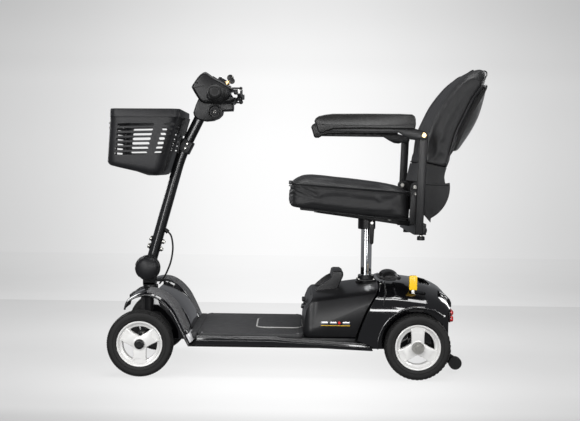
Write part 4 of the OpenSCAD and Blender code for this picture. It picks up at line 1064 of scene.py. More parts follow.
hd = cut(hd, lathe("c", [(0, -200), (11.4, -200), (11.4, 200), (0, 200)], (BARX, 0, BARZ), (0, 1, 0), "shell", n=48))
finish_piece(hd, "tiller", ("console_housing",), "textured_black", 30)
for s in (-1, 1):
    # raised almond cheek around the grip and the seam between the shells
    al = spl([(BARX - 37, 0, BARZ - 4), (BARX - 26, 0, BARZ + 18), (BARX - 3, 0, BARZ + 27), (BARX + 19, 0, BARZ + 20), (BARX + 34, 0, BARZ + 4), (BARX + 23, 0, BARZ - 13),
               (BARX + 2, 0, BARZ - 20), (BARX - 22, 0, BARZ - 17)], 5, True)
    pts = [(p.x, p.z) for p in al]
    rows = []
    for k, (g, y) in enumerate(((1.08, 73), (1.05, 76), (0.98, 79.5), (0.86, 81.5), (0.70, 81.8), (0.5, 80.5), (0.36, 80))):
        rows.append([Vector((BARX + (x - BARX) * g, s * y, BARZ + (z - BARZ) * g)) for x, z in pts])
    loft("console_cheek_%d" % (s + 1), rows, "console", "tiller", slot="textured_black", ring=True, sharp=50)
    seam = spl([(-331, 0, 880), (-316, 0, 884), (-296, 0, 888)], 5)
    sweep("console_seam_%d" % (s + 1), [(p.x, s * 75.3, p.z) for p in seam], 1.1, "satin", "tiller", slot="satin_black")
    edge = spl([(-196, 0, 846), (-214, 0, 849), (-232, 0, 846), (-262, 0, 842), (-296, 0, 842)], 5)
    sweep("console_seam_low_%d" % (s + 1), [(p.x, s * 75.3, p.z) for p in edge], 1.1, "satin", "tiller", slot="satin_black")
scr = [place((x, s * 75.2, z), (0, s, 0)) for s in (-1, 1) for x, z in ((-318, 896), (-212, 862 - 18), (-290, 840.5))]
scatter("console_screws", screw_head(3.2, 1.6, False), scr, "satin", "tiller", slot="satin_black")
# dash: inset panel, dial, horn, key and generic tick marks
bm = slab(rounded(8, 76, -64, 64, 9), -1, 1.2, 1.0, 2, frame3=lambda a, b, h: on_dash(a, b, h))
from_bm("dash_panel", bm, "panel", "tiller", (), "satin_black")
ticks = []
for k in range(11):
    g = radians(-40 + 26 * k)
    c = on_dash(48, 6, 1.5) + (X3 * -cos(g) + Vector((0, 1, 0)) * sin(g)) * 22
    ticks.append(place(tuple(c), tuple(DASH), tuple(c - on_dash(48, 6, 1.5))))
scatter("dash_ticks", unit_block(5, 1.4, 0.5, 0.1), ticks, "badge", "tiller", slot="satin_black")
lathe("speed_dial_knob", [(0, 0.6), (15.4, 0.6), (16, 1.6), (15.2, 4), (13.8, 11), (12.6, 13), (10, 13.6), (0, 13.6)], tuple(on_dash(48, 6)), tuple(DASH), "satin", BODY["speed_dial"], ("speed_dial",), "satin_black", n=64)
kr = [place(tuple(on_dash(48, 6, 7) + (X3 * cos(g) + Vector((0, 1, 0)) * sin(g)) * 14.7), tuple(X3 * cos(g) + Vector((0, 1, 0)) * sin(g)), tuple(DASH)) for g in [radians(k * 15) for k in range(24)]]
scatter("speed_dial_grips", unit_block(9, 1.6, 1.0, 0.3), kr, "satin", BODY["speed_dial"], slot="satin_black")
nd = on_dash(48, 6, 13.9)
scatter("speed_dial_mark", unit_block(9, 1.8, 0.8, 0.2), [place(tuple(nd - X3 * 6), tuple(DASH), tuple(X3))], "badge", BODY["speed_dial"], slot="satin_black")
lathe("horn_cap", [(0, 3.2), (8.6, 3.2), (9, 4), (8.8, 6.6), (7.4, 7.8), (4, 8), (0, 7.6)], tuple(on_dash(26, 42)), tuple(DASH), "grey", BODY["horn_button"], ("horn_button",), "grey_plastic", n=40)
lathe("horn_bezel", [(9.6, 0.8), (12.6, 0.8), (12.6, 2.6), (11.6, 3.6), (9.6, 3.6)], tuple(on_dash(26, 42)), tuple(DASH), "satin", "tiller", n=40, slot="satin_black")
KB = BODY["key_set"]
lathe("key_barrel", [(0, -8), (4.8, -8), (4.8, 3), (7.8, 3.2), (8, 4), (8, 8), (7.2, 9), (0, 9)], tuple(on_dash(26, -42)), tuple(DASH), "brass", KB, ("key_set",), "brass_key", n=40)
bm = slab(rounded(-3.6, 3.6, 8.5, 22, 1.2), -1.0, 1.0, 0.3, 1, frame3=lambda a, h, y: on_dash(26 + a, -42 + y, h))
from_bm("key_blade", bm, "brass", KB, (), "brass_key")
for i, (ka, kh, ky, r) in enumerate(((1, 25, 0, 10.5), (-9, 19, -7, 9.5))):
    bm = slab([(ka + r * cos(radians(a)), kh + r * sin(radians(a))) for a in range(0, 360, 15)], ky - 2.4, ky + 2.4, 1.2, 2, frame3=lambda a, h, y: on_dash(26 + a, -42 + y, h))
    from_bm("key_head_%d" % i, bm, "satin", KB, (), "satin_black")
kc = on_dash(26, -42, 30)
sweep("key_ring", [tuple(kc + Vector((0, 8.5 * cos(radians(a)), 0)) + DASH * 5 * sin(radians(a)) - X3 * 3 * cos(radians(a))) for a in range(0, 360, 15)], 0.9, "zinc", KB, slot="zinc", closed=True, up=tuple(X3))
# charger pod
cxp, czp = mid("charger_port").x, mid("charger_port").z
lathe("charger_pod", [(0, 26.5), (22.4, 26.5), (23, 28), (23, 57), (21.6, 59.6), (19.6, 60), (18.2, 58.6), (17.6, 54), (17.2, 50.5), (0, 50.5)], (cxp, 0, czp), (0, -1, 0), "satin", "tiller", ("charger_port",), "satin_black", n=64)
lathe("charger_ring", [(11.6, 50.6), (15.6, 50.6), (15.6, 53), (14.6, 54.6), (12.4, 54.6), (11.6, 53)], (cxp, 0, czp), (0, -1, 0), "satin", "tiller", n=48, slot="satin_black")
lathe("charger_socket", [(0, 50), (10.4, 50), (10.4, 57), (9.6, 58), (8, 58), (7.2, 56), (7.2, 52.5), (0, 52.5)], (cxp, 0, czp), (0, -1, 0), "console", "tiller", n=40, slot="textured_black")
scatter("charger_pins", screw_head(1.3, 3.4, False), [place((cxp + 4 * cos(radians(a)), -52.4, czp + 4 * sin(radians(a))), (0, -1, 0)) for a in (90, 210, 330)], "zinc", "tiller", slot="zinc")
# handlebar and grips
lathe("bar_tube", [(9, -237.5), (10.4, -237.5), (11, -236.5), (11, 236.5), (10.4, 237.5), (9, 237.5), (9, -237.5)], (BARX, 0, BARZ), (0, 1, 0), "satin", "tiller", ("handlebar",), "satin_black", n=40)
gp = [(11.4, 78.6), (25, 78.6), (27.4, 79.6), (28, 82), (27.2, 86), (23.5, 91), (20.8, 95), (20, 101), (20, 112), (21, 128), (21.8, 148), (21.6, 170), (21, 192), (21, 206),
      (21.8, 226), (22, 236), (21.4, 240.5), (19.2, 244.6), (15, 247), (8, 248), (0, 248)]
for s in (-1, 1):
    lathe("handgrip_%d" % (s + 1), gp, (BARX, 0, BARZ), (0, s, 0), "grip", "tiller", ("handgrips",) if s < 0 else (), "grip_rubber", n=64)
    lathe("handgrip_cap_%d" % (s + 1), [(0, 246), (14.6, 246), (15.2, 247), (14.6, 248.2), (12.8, 248.6), (12.2, 247.8), (0, 247.6)], (BARX, 0, BARZ), (0, s, 0), "satin", "tiller", n=48, slot="satin_black")
    ribs = []
    for k in range(22):
        g = radians(k * 360 / 22)
        for j in range(12):
            y = 108 + j * 10.2
            ribs.append(place((BARX + 21.0 * cos(g + j * 0.14), s * y, BARZ + 21.0 * sin(g + j * 0.14)), (cos(g + j * 0.14), 0, sin(g + j * 0.14)), (0, 1, 0)))
    scatter("handgrip_pads_%d" % (s + 1), unit_block(7.4, 2.8, 1.9, 0.4, 0.7), ribs, "grip", "tiller", slot="grip_rubber")
# throttle lever: one wing each side, pale tips
TB = BODY["throttle_lever"]
wing = [(-190, 0), (-190, 60), (-187.5, 100), (-185, 114), (-182, 117), (-178.5, 115), (-176.5, 108), (-178, 60), (-179, 0), (-178, -60), (-176.5, -108), (-178.5, -115), (-182, -117),
        (-185, -114), (-187.5, -100), (-190, -60)]
bm = slab(wing, 857, 872, 2.6, 3, cap=2.6, frame3=lambda a, b, z: Vector((a, b, z)))
from_bm("throttle_wings", bm, "satin", TB, ("throttle_lever",), "satin_black")
lathe("throttle_boss", [(0, 845.5), (5.4, 845.5), (6, 846.5), (6, 882), (5, 883), (3, 883), (3, 891), (2.2, 891.6), (0, 891.6)], (-184, 0, 0), (0, 0, 1), "satin", TB, n=40, slot="satin_black")
for s in (-1, 1):
    tip = [(-189.6, 78), (-187.6, 101), (-185.2, 114.6), (-182, 117.6), (-178, 115.4), (-176, 108), (-177.6, 78)]
    bm = slab([(x, s * y) for x, y in (tip if s > 0 else tip[::-1])], 871.2, 873.4, 0.8, 2, frame3=lambda a, b, z: Vector((a, b, z)))
    from_bm("throttle_tip_%d" % (s + 1), bm, "pale", TB, (), "grey_plastic")
for i, z in enumerate((884.5, 838.5)):
    extr("throttle_stay_%d" % i, [(-212, z), (-187, z), (-187, z + 5), (-212, z + 5)], -5, 5, "satin", "tiller", slot="satin_black", w=1.0)
    lathe("throttle_stay_end_%d" % i, [(3.2, -2.9), (4.8, -2.9), (5.4, -2), (5.4, 2), (4.8, 2.9), (3.2, 2.9)], (-184, 0, z + 2.5), (0, 0, 1), "satin", "tiller", n=32, slot="satin_black")

for s in (-1, 1):
    for k, (xa, xb, m) in enumerate(((-200, -186.5, "satin"), (-188.5, -179.5, "pale"))):
        bm = slab(rounded(xa, xb, *sorted((s * 90, s * 117.5)), 4), 860 + k, 875 - k, 2.6, 3, cap=2.6, frame3=lambda a, b, z: Vector((a, b, z)))
        from_bm("throttle_paddle_%d_%d" % (s + 1, k), bm, m, TB, (), "grey_plastic" if k else "satin_black")
    lathe("throttle_ball_%d" % (s + 1), [(0, -7), (3.6, -6), (6, -3.6), (7, 0), (6, 3.6), (3.6, 6), (0, 7)], (-187, s * 84, 848), (0, 1, 0), "satin", TB, n=32, slot="satin_black")
    sweep("throttle_stalk_%d" % (s + 1), [(-184, 0, 848), (-186, s * 30, 848), (-187, s * 80, 848)], 2.6, "satin", TB, slot="satin_black", up=(0, 0, 1))

# ---------------------------------------------------------------- basket
bk0, bk1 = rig.box("basket")
BW = bk1.y / MM

def basket_ring(t, grow=0.0):
    """t 0 at the floor, 1 under the rim; a rounded rectangle in a sloping plane"""
    xa, xb = -583 + 9.0 * t, -422 + (-366 + 422) * t
    za, zb = 636 + (800 - 636) * t, 608 + (802 - 608) * t
    hw = BW - 12 + 4 * t + grow
    r = 26
    x0, x1 = xa - grow, xb + grow
    pts = []
    for cx, cy, a in ((x1 - r, hw - r, 0), (x0 + r, hw - r, 90), (x0 + r, -hw + r, 180), (x1 - r, -hw + r, 270)):
        for i in range(9):
            g = radians(a + 90 * i / 8)
            pts.append((cx + r * cos(g), cy + r * sin(g)))
    return [Vector((x, y, za + (zb - za) * (x - x0) / (x1 - x0))) for x, y in pts]

def basket():
    rows = [basket_ring(i / 10) for i in range(1, 11)]
    low = [[v + Vector((0, 0, dz)) for v in basket_ring(0, g)] for g, dz in ((-40, 0), (-15, 0.2), (-7, 2.2), (-2.4, 6.6), (-0.4, 12))]
    wall = loft("basket_shell", low + rows, "console", ring=True, sharp=45)
    c = wall.data
    bm = bmesh.new()
    bm.from_mesh(c)
    edges = [e for e in bm.edges if len(e.link_faces) == 1 and all(abs(v.co.y) < (BW - 45) * MM for v in e.verts)]
    bmesh.ops.contextual_create(bm, geom=edges)
    bmesh.ops.recalc_face_normals(bm, faces=bm.faces)
    bm.to_mesh(c)
    bm.free()
    apply_mod(wall, "SOLIDIFY", thickness=3.2 * MM, offset=1.0)
    tools = []
    def slot_tool(pts, f):
        tools.append(from_bm("t", slab(pts, -1, 1, 0, frame3=f), "console"))
    def pill(x0, x1, z0, z1, tilt=0.0):
        r = (z1 - z0) / 2
        out = []
        for cx, a in ((x1 - r, -90), (x0 + r, 90)):
            for i in range(7):
                g = radians(a + 180 * i / 6)
                out.append((cx + r * cos(g), (z0 + z1) / 2 + r * sin(g)))
        return [(x, z + (x + 500) * tilt) for x, z in out]
    for i in range(7):
        z = 765 - 14.6 * i
        for s in (-1, 1):
            dz = 0 if s < 0 else -5.9
            for x0, x1 in ((-551.5 - 1.4 * i, -439 - 3.6 * i), (-410 - 4.7 * i, -378.5 - 5.0 * i)):
                slot_tool(pill(x0, x1, z - 8.6 + dz, z + dz, 0.028), lambda a, b, y, s=s: Vector((a, s * (BW - 10) + y * 16, b)))
        for y0, y1 in ((-134, -8), (8, 134)):
            slot_tool(pill(y0, y1, z - 8.6 + 1.5, z + 1.5), lambda a, b, y: Vector((-578 + y * 16, a, b)))
        if i < 6:
            for y0, y1 in ((-134, -34), (34, 134)):
                slot_tool(pill(y0, y1, z - 8.6, z), lambda a, b, y, i=i: Vector((-376 - 4.4 * i + y * 16, a, b)))
    t = weld("tools", tools)
    cut(wall, t)
    finish_piece(wall, "basket", ("basket",), "textured_black", 40)
    # rim band with a rolled top and a step below
    R = [basket_ring(1.0, g) for g in (1.0, 4.2, 4.2, 3.0, -1.5, -2.5, -1.0)]
    Z = [-17, -16, 6.6, 8.8, 8.8, 6.5, -2]
    loft("basket_rim", [[v + Vector((0, 0, z)) for v in r] for r, z in zip(R, Z)], "console", "basket", (), "textured_black", ring=True, thick=0, sharp=40)
    sweep("basket_rim_bead", [v + Vector((0, 0, -17)) for v in basket_ring(1.0, 1.6)], 1.5, "console", "basket", slot="textured_black", closed=True, up=(0, 0, 1))
    sweep("basket_foot_bead", [v + Vector((0, 0, 14)) for v in basket_ring(0, 0.6)], 2.2, "console", "basket", slot="textured_black", closed=True, up=(0, 0, 1))
    lou = []
    for i in range(7):
        z = 764.5 - 14.6 * i
        for y0, y1 in ((-132, -10), (10, 132)):
            lou.append(block("l", (-584.5 + 0.045 * (800 - z), y0, z - 1.2), (-578.5 + 0.045 * (800 - z), y1, z + 2.4), "console", w=1.0))
    weld("basket_louvres", lou, "basket", slot="textured_black")
    # hook strap and wire loops on the tiller side
    strap = spl([(-366, 0, 792), (-371, 0, 775), (-377, 0, 752), (-381, 0, 735)], 4)
    sweep("basket_hook", strap, [(22 * cos(a * pi / 8), 2.2 * sin(a * pi / 8)) for a in range(16)], "console", "basket", slot="textured_black")
    for y in (-128, -96, 96, 128):
        sweep("basket_back_rib_%d" % (y + 200), [(-366 - (800 - z) * 0.268, y, z) for z in range(620, 798, 12)], 2.0, "console", "basket", slot="textured_black")
basket()
# clamp block between basket and tiller
bm = slab(rounded(-18, 22, -23, 23, 7), -21, 20, 3, 3, cap=3, frame3=lambda a, b, z: Vector((a * U2.z + z * U2.x - 359, b, -a * U2.x + z * U2.z + 700)))
ck = cut(from_bm("ck", bm, "satin"), extr("c", [(-500, 600), (-418, 600), (-370.5, 810), (-500, 810)], -60, 60, "satin", w=0))
finish_piece(ck, "tiller", ("basket_bracket",), "satin_black", 40)
scatter("basket_bracket_screws", screw_head(4.2, 2.6), [place((-359 + 8 * U2.x * s + 4, y * 23, 700 + 8 * U2.z * s), (0, y, 0)) for s in (-1, 1) for y in (-1, 1)], "zinc", "tiller", slot="zinc")
extr("basket_bracket_plate", [(-386, 676), (-379, 676), (-371, 728), (-378, 728)], -30, 30, "satin", "basket", slot="satin_black", w=1.2)

# ---------------------------------------------------------------- soft pieces
def pillow(o, voxel=5.0, cap=9.0, pressure=4.0, pin=None):
    """swell a closed form under pressure; pin(co in mm) true where it may not move"""
    if QUICK:
        apply_mod(o, "SUBSURF", levels=1, render_levels=1)
        return o
    apply_mod(o, "REMESH", mode="VOXEL", voxel_size=voxel * MM, use_smooth_shade=True)
    base = [v.co.copy() for v in o.data.vertices]
    if pin:
        g = o.vertex_groups.new(name="pin")
        g.add([v.index for v in o.data.vertices if pin(v.co / MM)], 1.0, "REPLACE")
    md = o.modifiers.new("cloth", "CLOTH")
    s = md.settings
    s.quality, s.mass = 5, 0.35
    s.tension_stiffness = s.compression_stiffness = 18
    s.shear_stiffness, s.bending_stiffness = 6, 0.35
    s.use_pressure, s.uniform_pressure_force = True, pressure
    s.effector_weights.gravity = 0
    if pin:
        s.vertex_group_mass = "pin"
    SCENE.frame_start, SCENE.frame_end = 1, 20
    md.point_cache.frame_start, md.point_cache.frame_end = 1, 20
    for f in range(1, 21):
        SCENE.frame_set(f)
    dg = bpy.context.evaluated_depsgraph_get()
    new = bpy.data.meshes.new_from_object(o.evaluated_get(dg))
    o.modifiers.clear()
    o.vertex_groups.clear()
    for v, b in zip(new.vertices, base):
        d = v.co - b
        if d.length > cap * MM:
            v.co = b + d.normalized() * cap * MM
    old, o.data = o.data, new
    bpy.data.meshes.remove(old)
    SCENE.frame_set(1)
    apply_mod(o, "SMOOTH", factor=0.5, iterations=2)
    apply_mod(o, "SUBSURF", levels=1, render_levels=1)
    return o

def crease(x, y, u, k):
    """a few soft pulls in the cover"""
    return k * sin(x * 0.11 + sin(y * 0.043) * 2.1 + u) * cos(y * 0.083 + x * 0.031 + u * 1.7)

def ring_plan(x0, x1, hw, r, inset, pull, zf, k=7, m=12):
    """rounded rectangle whose sides pull in between its corners"""
    r = max(4.0, r - inset * 0.5)
    a0, a1, w = x0 + inset, x1 - inset, hw - inset
    pts = []
    cn = ((a1 - r, w - r, 0), (a0 + r, w - r, 90), (a0 + r, -w + r, 180), (a1 - r, -w + r, 270))
    for i, (cx, cy, a) in enumerate(cn):
        for j in range(k + 1):
            g = radians(a + 90 * j / k)
            pts.append((cx + r * cos(g), cy + r * sin(g)))
        nx, ny, na = cn[(i + 1) % 4]
        p, q = pts[-1], (nx + r * cos(radians(na)), ny + r * sin(radians(na)))
        d = Vector((q[1] - p[1], p[0] - q[0])).normalized()
        for j in range(1, m):
            t = j / m
            s = pull * sin(pi * t)
            pts.append((p[0] + (q[0] - p[0]) * t + d.x * -s, p[1] + (q[1] - p[1]) * t + d.y * -s))
    mx, my = (a0 + a1) / 2, 0
    out = []
    for x, y in pts:
        if (Vector((x - mx, y - my))).length > 0:
            out.append(Vector((x, y, zf(x, y))))
    return out

def seat_z(x):
    return 516 - (x + 26) * 36 / 376

def top_z(x):
    return 588 - (x + 2) * 22 / 336

SC0, SC1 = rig.box("seat_cushion")
SW = SC1.y / MM
seat_rows = []
for inset, pull, f, up in ((22, 0, 0, 0.5), (9, 1, 0, 2), (4, 2, 0.03, 4), (2.5, 3, 0.16, 3), (2.6, 5, 0.5, 0), (2.2, 4, 0.84, -3), (3.2, 3, 0.97, -2.0), (6, 2.4, 1, 2.0), (12, 1.6, 1, 7.6),
                           (24, 0.5, 1, 13.5), (42, 0, 1, 18.5), (70, 0, 1, 21.2), (110, 0, 1, 22), (150, 0, 1, 22.4), (178, 0, 1, 22.6)):
    fz = lambda x, y, f=f, up=up, i=inset: seat_z(x) + (top_z(x) - seat_z(x)) * f + up * (1 - 0.34 * max(0, (x - 160) / 180) + 0.16 * exp(-((x - 50) / 60) ** 2)) + (crease(x, y, 0.4, 0.5) if i > 12 and up > 5 else 0)
    seat_rows.append(ring_plan(-24.5, 343.5, SW, 40, inset, pull, fz))
sc = loft("seat_pad", seat_rows, "vinyl", ring=True, caps=True, sharp=60)
pillow(sc, 6.0, 4.5, 3.0, lambda c: c.z < seat_z(c.x) + 14)
bmx = bmesh.new()
bmx.from_mesh(sc.data)
lim0, lim1 = SC0 / MM, SC1 / MM
for v in bmx.verts:
    c = v.co / MM
    c.x, c.y = min(max(c.x, lim0.x - 1), lim1.x + 1), min(max(c.y, -SW - 1), SW + 1)
    c.z = max(c.z, seat_z(c.x) + 0.2)
    # pulls at the front corners below the piping
    if c.z < top_z(c.x) - 2 and c.x < 60:
        t = max(0.0, 1 - abs(c.z - top_z(c.x) + 22) / 26)
        c.x += 1.7 * t * sin(c.z * 0.42 + c.y * 0.06) * (1 if abs(c.y) > 120 else 0.4)
        c.y += 1.3 * t * sin(c.z * 0.5 + c.x * 0.22) * (1 if c.y > 0 else -1)
    v.co = c * MM
bmx.to_mesh(sc.data)
bmx.free()
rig.padded(sc, fill=0.75)
finish_piece(sc, "seat", ("seat_cushion",), "seat_vinyl", 60)
pipe = ring_plan(-25.5, 344.0, SW, 40, 2.0, 4.4, lambda x, y: top_z(x) - 1.0)
pp = sweep("seat_piping", pipe, [(3.0 * cos(radians(a)), 3.0 * sin(radians(a))) for a in range(0, 360, 36)], "piping", "seat", slot="seat_vinyl", closed=True, up=(0, 0, 1))
def stitches(name, pts, up, body, mat="thread", slot="seat_vinyl", pitch=5.0, size=(3.2, 0.9, 0.8)):
    out, run = [], 0.0
    for a, b in zip(pts, pts[1:]):
        a, b = Vector(a), Vector(b)
        L = (b - a).length
        while run < L:
            out.append(place(tuple(a + (b - a) * run / L), up, tuple(b - a)))
            run += pitch
        run -= L
    return scatter(name, unit_block(*size, 0.2), out, mat, body, slot=slot)
for i, (ins, dz) in enumerate(((6.4, -6.2),)):
    stitches("seat_stitch_%d" % i, [v + Vector((0, 0, 0)) for v in ring_plan(-25.5, 344, SW, 40, 0.4, 4.8, lambda x, y: top_z(x) - 9.5)], (0, -0.8, 0.6), "seat")
ring_low = ring_plan(-24.5, 343.5, SW, 40, 2.6, 3.0, lambda x, y: seat_z(x) + 12)
sweep("seat_skirt_seam", ring_low, [(1.4 * cos(radians(a)), 1.4 * sin(radians(a))) for a in range(0, 360, 45)], "piping", "seat", slot="seat_vinyl", closed=True, up=(0, 0, 1))

# seat base
extr("seat_plate", [(10, seat_z(10) - 7), (335, seat_z(335) - 7), (335, seat_z(335) - 0.3), (10, seat_z(10) - 0.3)], -150, 150, "paint", "seat", ("seat_base",), "frame_steel", w=2)
for s in (-1, 1):
    extr("seat_rail_%d" % (s + 1), [(60, 500), (300, 480), (356, 476), (356, 455), (262, 468), (60, 494)], *sorted((s * 50, s * 60)), "paint", "seat", slot="frame_steel", w=1.6)
    extr("hinge_ear_%d" % (s + 1), [(346, 466), (370, 466)] + [(HX + 12 * cos(radians(a)), HZ + 12 * sin(radians(a))) for a in range(0, 181, 15)], *sorted((s * 168, s * 176)), "paint", "seat", slot="frame_steel", w=1.2, cap=1, seg=2)
    lathe("hinge_pin_%d" % (s + 1), [(0, 167), (6, 167), (6, 189), (5, 190), (0, 190)], (HX, 0, HZ), (0, s, 0), "zinc", "seat", n=32, slot="zinc")
    lathe("arm_knob_stem_%d" % (s + 1), [(0, 430), (5, 430), (5, 438.5), (0, 438.5)], (378, s * 190, 0), (0, 0, 1), "zinc", "seat", n=24, slot="zinc")
    lathe("arm_knob_%d" % (s + 1), [(0, 420), (10.6, 420), (12, 421.5), (12, 430), (10, 432.5), (0, 433)], (378, s * 190, 0), (0, 0, 1), "satin", "seat", n=12, slot="satin_black")
tube = slab([(356, 437), (392, 437), (392, 470), (356, 470)], -205, 205, 4, 3, cap=1.2)
tb = cut(from_bm("tube", tube, "paint"), extr("c", [(361.2, 441.2), (386.8, 441.2), (386.8, 464.8), (361.2, 464.8)], -230, 230, "paint", w=2))
finish_piece(tb, "seat", (), "frame_steel", 35)
lathe("seat_hub", [(17.8, 441), (26, 441), (28, 443), (28, 484), (26.5, 486), (17.8, 486)], (227, 0, 0), (0, 0, 1), "paint", "seat", n=56, slot="frame_steel")
sweep("seat_hub_weld", [(227 + 28.4 * cos(radians(a)), 28.4 * sin(radians(a)), 484.5) for a in range(0, 360, 9)], 2.2, "paint", "seat", slot="frame_steel", closed=True, up=(0, 0, 1))
bolts = [place((x, y, seat_z(x) - 7.2), (0, 0, -1)) for x in (60, 290) for y in (-110, 110)]
scatter("seat_plate_bolts", screw_head(6, 3.6), bolts, "zinc", "seat", slot="zinc")
sl = [(233, 470), (249, 470), (249.4, 450), (247, 398), (244.5, 394.5), (241, 393), (237.5, 394.5), (235, 398), (232.6, 450)]
extr("swivel_handle", sl, -36, -30, "satin", "swivel_lever", ("swivel_lever",), "satin_black", w=1.8, seg=3, cap=1.8)
lathe("swivel_pin", [(0, 18), (3, 18), (3, 36.4), (5, 36.4), (5.4, 37.4), (4.4, 39), (0, 39.2)], (241, 0, 462), (0, -1, 0), "zinc", "swivel_lever", n=28, slot="zinc")
lathe("post_pipe", [(0, 100), (16.5, 100), (17.5, 101), (17.5, 459), (16.5, 460), (0, 460)], (227, 0, 0), (0, 0, 1), "chrome", "seat_post", ("seat_post",), "chrome_post", n=64)
holes = [place((227, -17.5, 180 + 25 * i), (0, -1, 0)) for i in range(6)]
scatter("post_marks", screw_head(3.4, 0.5, False), holes, "satin", "seat_post", slot="satin_black")
plate("post_collar_plate", rounded(197, 258, -30, 30, 8), 274.2, 280, "satin", "frame", ("post_collar",), "satin_black", 1.6)
lathe("post_collar_ring", [(17.9, 280), (25, 280), (26, 281), (26, 291), (24, 293.6), (20, 294), (17.9, 293)], (227, 0, 0), (0, 0, 1), "satin", "frame", n=56, slot="satin_black")
scatter("post_collar_screws", screw_head(3.6, 2.4), [place((x, y, 280), (0, 0, 1)) for x in (203, 251) for y in (-24, 24)], "zinc", "frame", slot="zinc")

# ---------------------------------------------------------------- seat back
BW2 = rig.box("back_cushion")[1].y / MM
front = [(381, 656.9), (387, 672), (393.5, 690), (400, 716), (404.6, 744), (412, 768), (422, 790), (435, 818), (450, 846), (468, 872), (488, 897), (505, 915), (520, 929), (535, 940), (548, 946), (562, 949.5)]
rear = [(457, 641), (465, 664), (472, 690), (480, 718), (487, 744), (500, 774), (513, 800), (525, 826), (537, 851), (547, 866), (556, 879), (565, 891), (572, 901), (579, 914), (583.5, 930), (575, 945)]

def back_rows():
    F, R = spl([(a, 0, b) for a, b in front], 3), spl([(a, 0, b) for a, b in rear], 3)
    n = len(F)
    rows = []
    for q in range(45):
        v = -1 + 2 * q / 44
        y = BW2 * sin(v * pi / 2 * 0.9) / sin(pi / 2 * 0.9)
        e = abs(y) / BW2
        # rounded upper corners: the top is lower towards the sides
        drop = 0.0 if e < 0.45 else ((e - 0.45) / 0.55) ** 2.6
        top = (n - 1) * (1 - 0.235 * drop)
        thin = 1 - 0.30 * max(0, (e - 0.78) / 0.22) ** 2.2
        row = []
        m = 30
        for j in range(m + 1):
            t = top * j / m
            i = min(n - 2, int(t))
            f = F[i] + (F[i + 1] - F[i]) * (t - i)
            r = R[i] + (R[i + 1] - R[i]) * (t - i)
            c, h = (f + r) / 2, (f - r) / 2
            k = thin
            s = j / m
            k *= (1 - max(0, (s - 0.86) / 0.14) ** 2.4 * 0.55)
            bol = 0.0
            if 0.62 < e < 0.97 and 0.08 < s < 0.93:
                bol = 0.07 * sin(pi * (e - 0.62) / 0.35) * sin(pi * min(1, (s - 0.08) / 0.2, (0.93 - s) / 0.2) / 2)
            row.append((c + h * (k + bol - (0.05 if 0.585 < e < 0.63 and 0.06 < s < 0.9 else 0)), c - h * k))
        ring = [a for a, b in row] + [b for a, b in row[::-1]]
        rows.append([Vector((p.x, y, p.z)) for p in ring])
    return rows
bc = loft("back_pad", back_rows(), "vinyl", ring=True, caps=True, sharp=60)
pillow(bc, 6.0, 4.0, 2.6, lambda c: c.z < 662)
b0, b1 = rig.box("back_cushion")
for v in bc.data.vertices:
    c = v.co / MM
    c.y = min(max(c.y, b0.y / MM - 1), b1.y / MM + 1)
    c.x, c.z = min(max(c.x, b0.x / MM - 1), b1.x / MM + 1), min(c.z, b1.z / MM + 1)
    c.z = max(c.z, 657 - (c.x - 381) * 0.21)
    v.co = c * MM
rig.padded(bc, fill=0.8)
finish_piece(bc, "back", ("back_cushion",), "seat_vinyl", 60)
def back_at(s, y, off=0.0, side=1):
    """point on the front (or rear) face at height share s and across y"""
    F, R = spl([(a, 0, b) for a, b in front], 3), spl([(a, 0, b) for a, b in rear], 3)
    n = len(F)
    e = abs(y) / BW2
    drop = 0.0 if e < 0.45 else ((e - 0.45) / 0.55) ** 2.6
    t = (n - 1) * (1 - 0.235 * drop) * s
    i = min(n - 2, int(t))
    f = F[i] + (F[i + 1] - F[i]) * (t - i)
    r = R[i] + (R[i + 1] - R[i]) * (t - i)
    c, h = (f + r) / 2, (f - r) / 2
    k = (1 - 0.30 * max(0, (e - 0.78) / 0.22) ** 2.2) * (1 - max(0, (s - 0.86) / 0.14) ** 2.4 * 0.55)
    p = c + h * k * side
    d = h.normalized() * side
    return Vector((p.x + d.x * off, y, p.z + d.z * off))
sweep("back_edge_piping_rear", [back_at(s, y, 0.6, -1) for s, y in [(0.04 + 0.94 * i / 16, -BW2 * 0.985) for i in range(17)] + [(0.985, -BW2 * 0.985 + 2 * BW2 * 0.985 * i / 24) for i in range(1, 24)] + [(0.98 - 0.94 * i / 16, BW2 * 0.985) for i in range(17)]],
      [(2.2 * cos(radians(a)), 2.2 * sin(radians(a))) for a in range(0, 360, 45)], "piping", "back", slot="seat_vinyl", up=(1, 0, 0.2))
for s in (-1, 1):
    ln = [back_at(0.06 + 0.84 * i / 24, s * BW2 * 0.605, 2.2) for i in range(25)]
    sweep("back_panel_seam_%d" % (s + 1), ln, [(1.9 * cos(radians(a)), 1.9 * sin(radians(a))) for a in range(0, 360, 45)], "piping", "back", slot="seat_vinyl", up=(0, 1, 0))
    stitches("back_panel_stitch_%d" % (s + 1), [p + Vector((-0.6, s * 5.5, 0)) for p in ln], (-1, 0, 0.3), "back")
for i, sh_ in enumerate((0.30, 0.60, 0.90)):
    ln = [back_at(sh_, -BW2 * 0.6 + 1.2 * BW2 * j / 20, 1.6) for j in range(21)]
    sweep("back_cross_seam_%d" % i, ln, [(1.7 * cos(radians(a)), 1.7 * sin(radians(a))) for a in range(0, 360, 45)], "piping", "back", slot="seat_vinyl", up=(0, 0, 1))
loop = [(385, -BW2 + 16), (388, -BW2 + 6), (396, -BW2 + 2.4), (444, -BW2 + 2.4), (450, -BW2 + 6), (453, -BW2 + 16)]
pts = [Vector((x, y, 657 - (x - 381) * 0.21 + 4)) for x, y in loop]
pts += [Vector((p.x, -p.y, p.z)) for p in pts[::-1]]
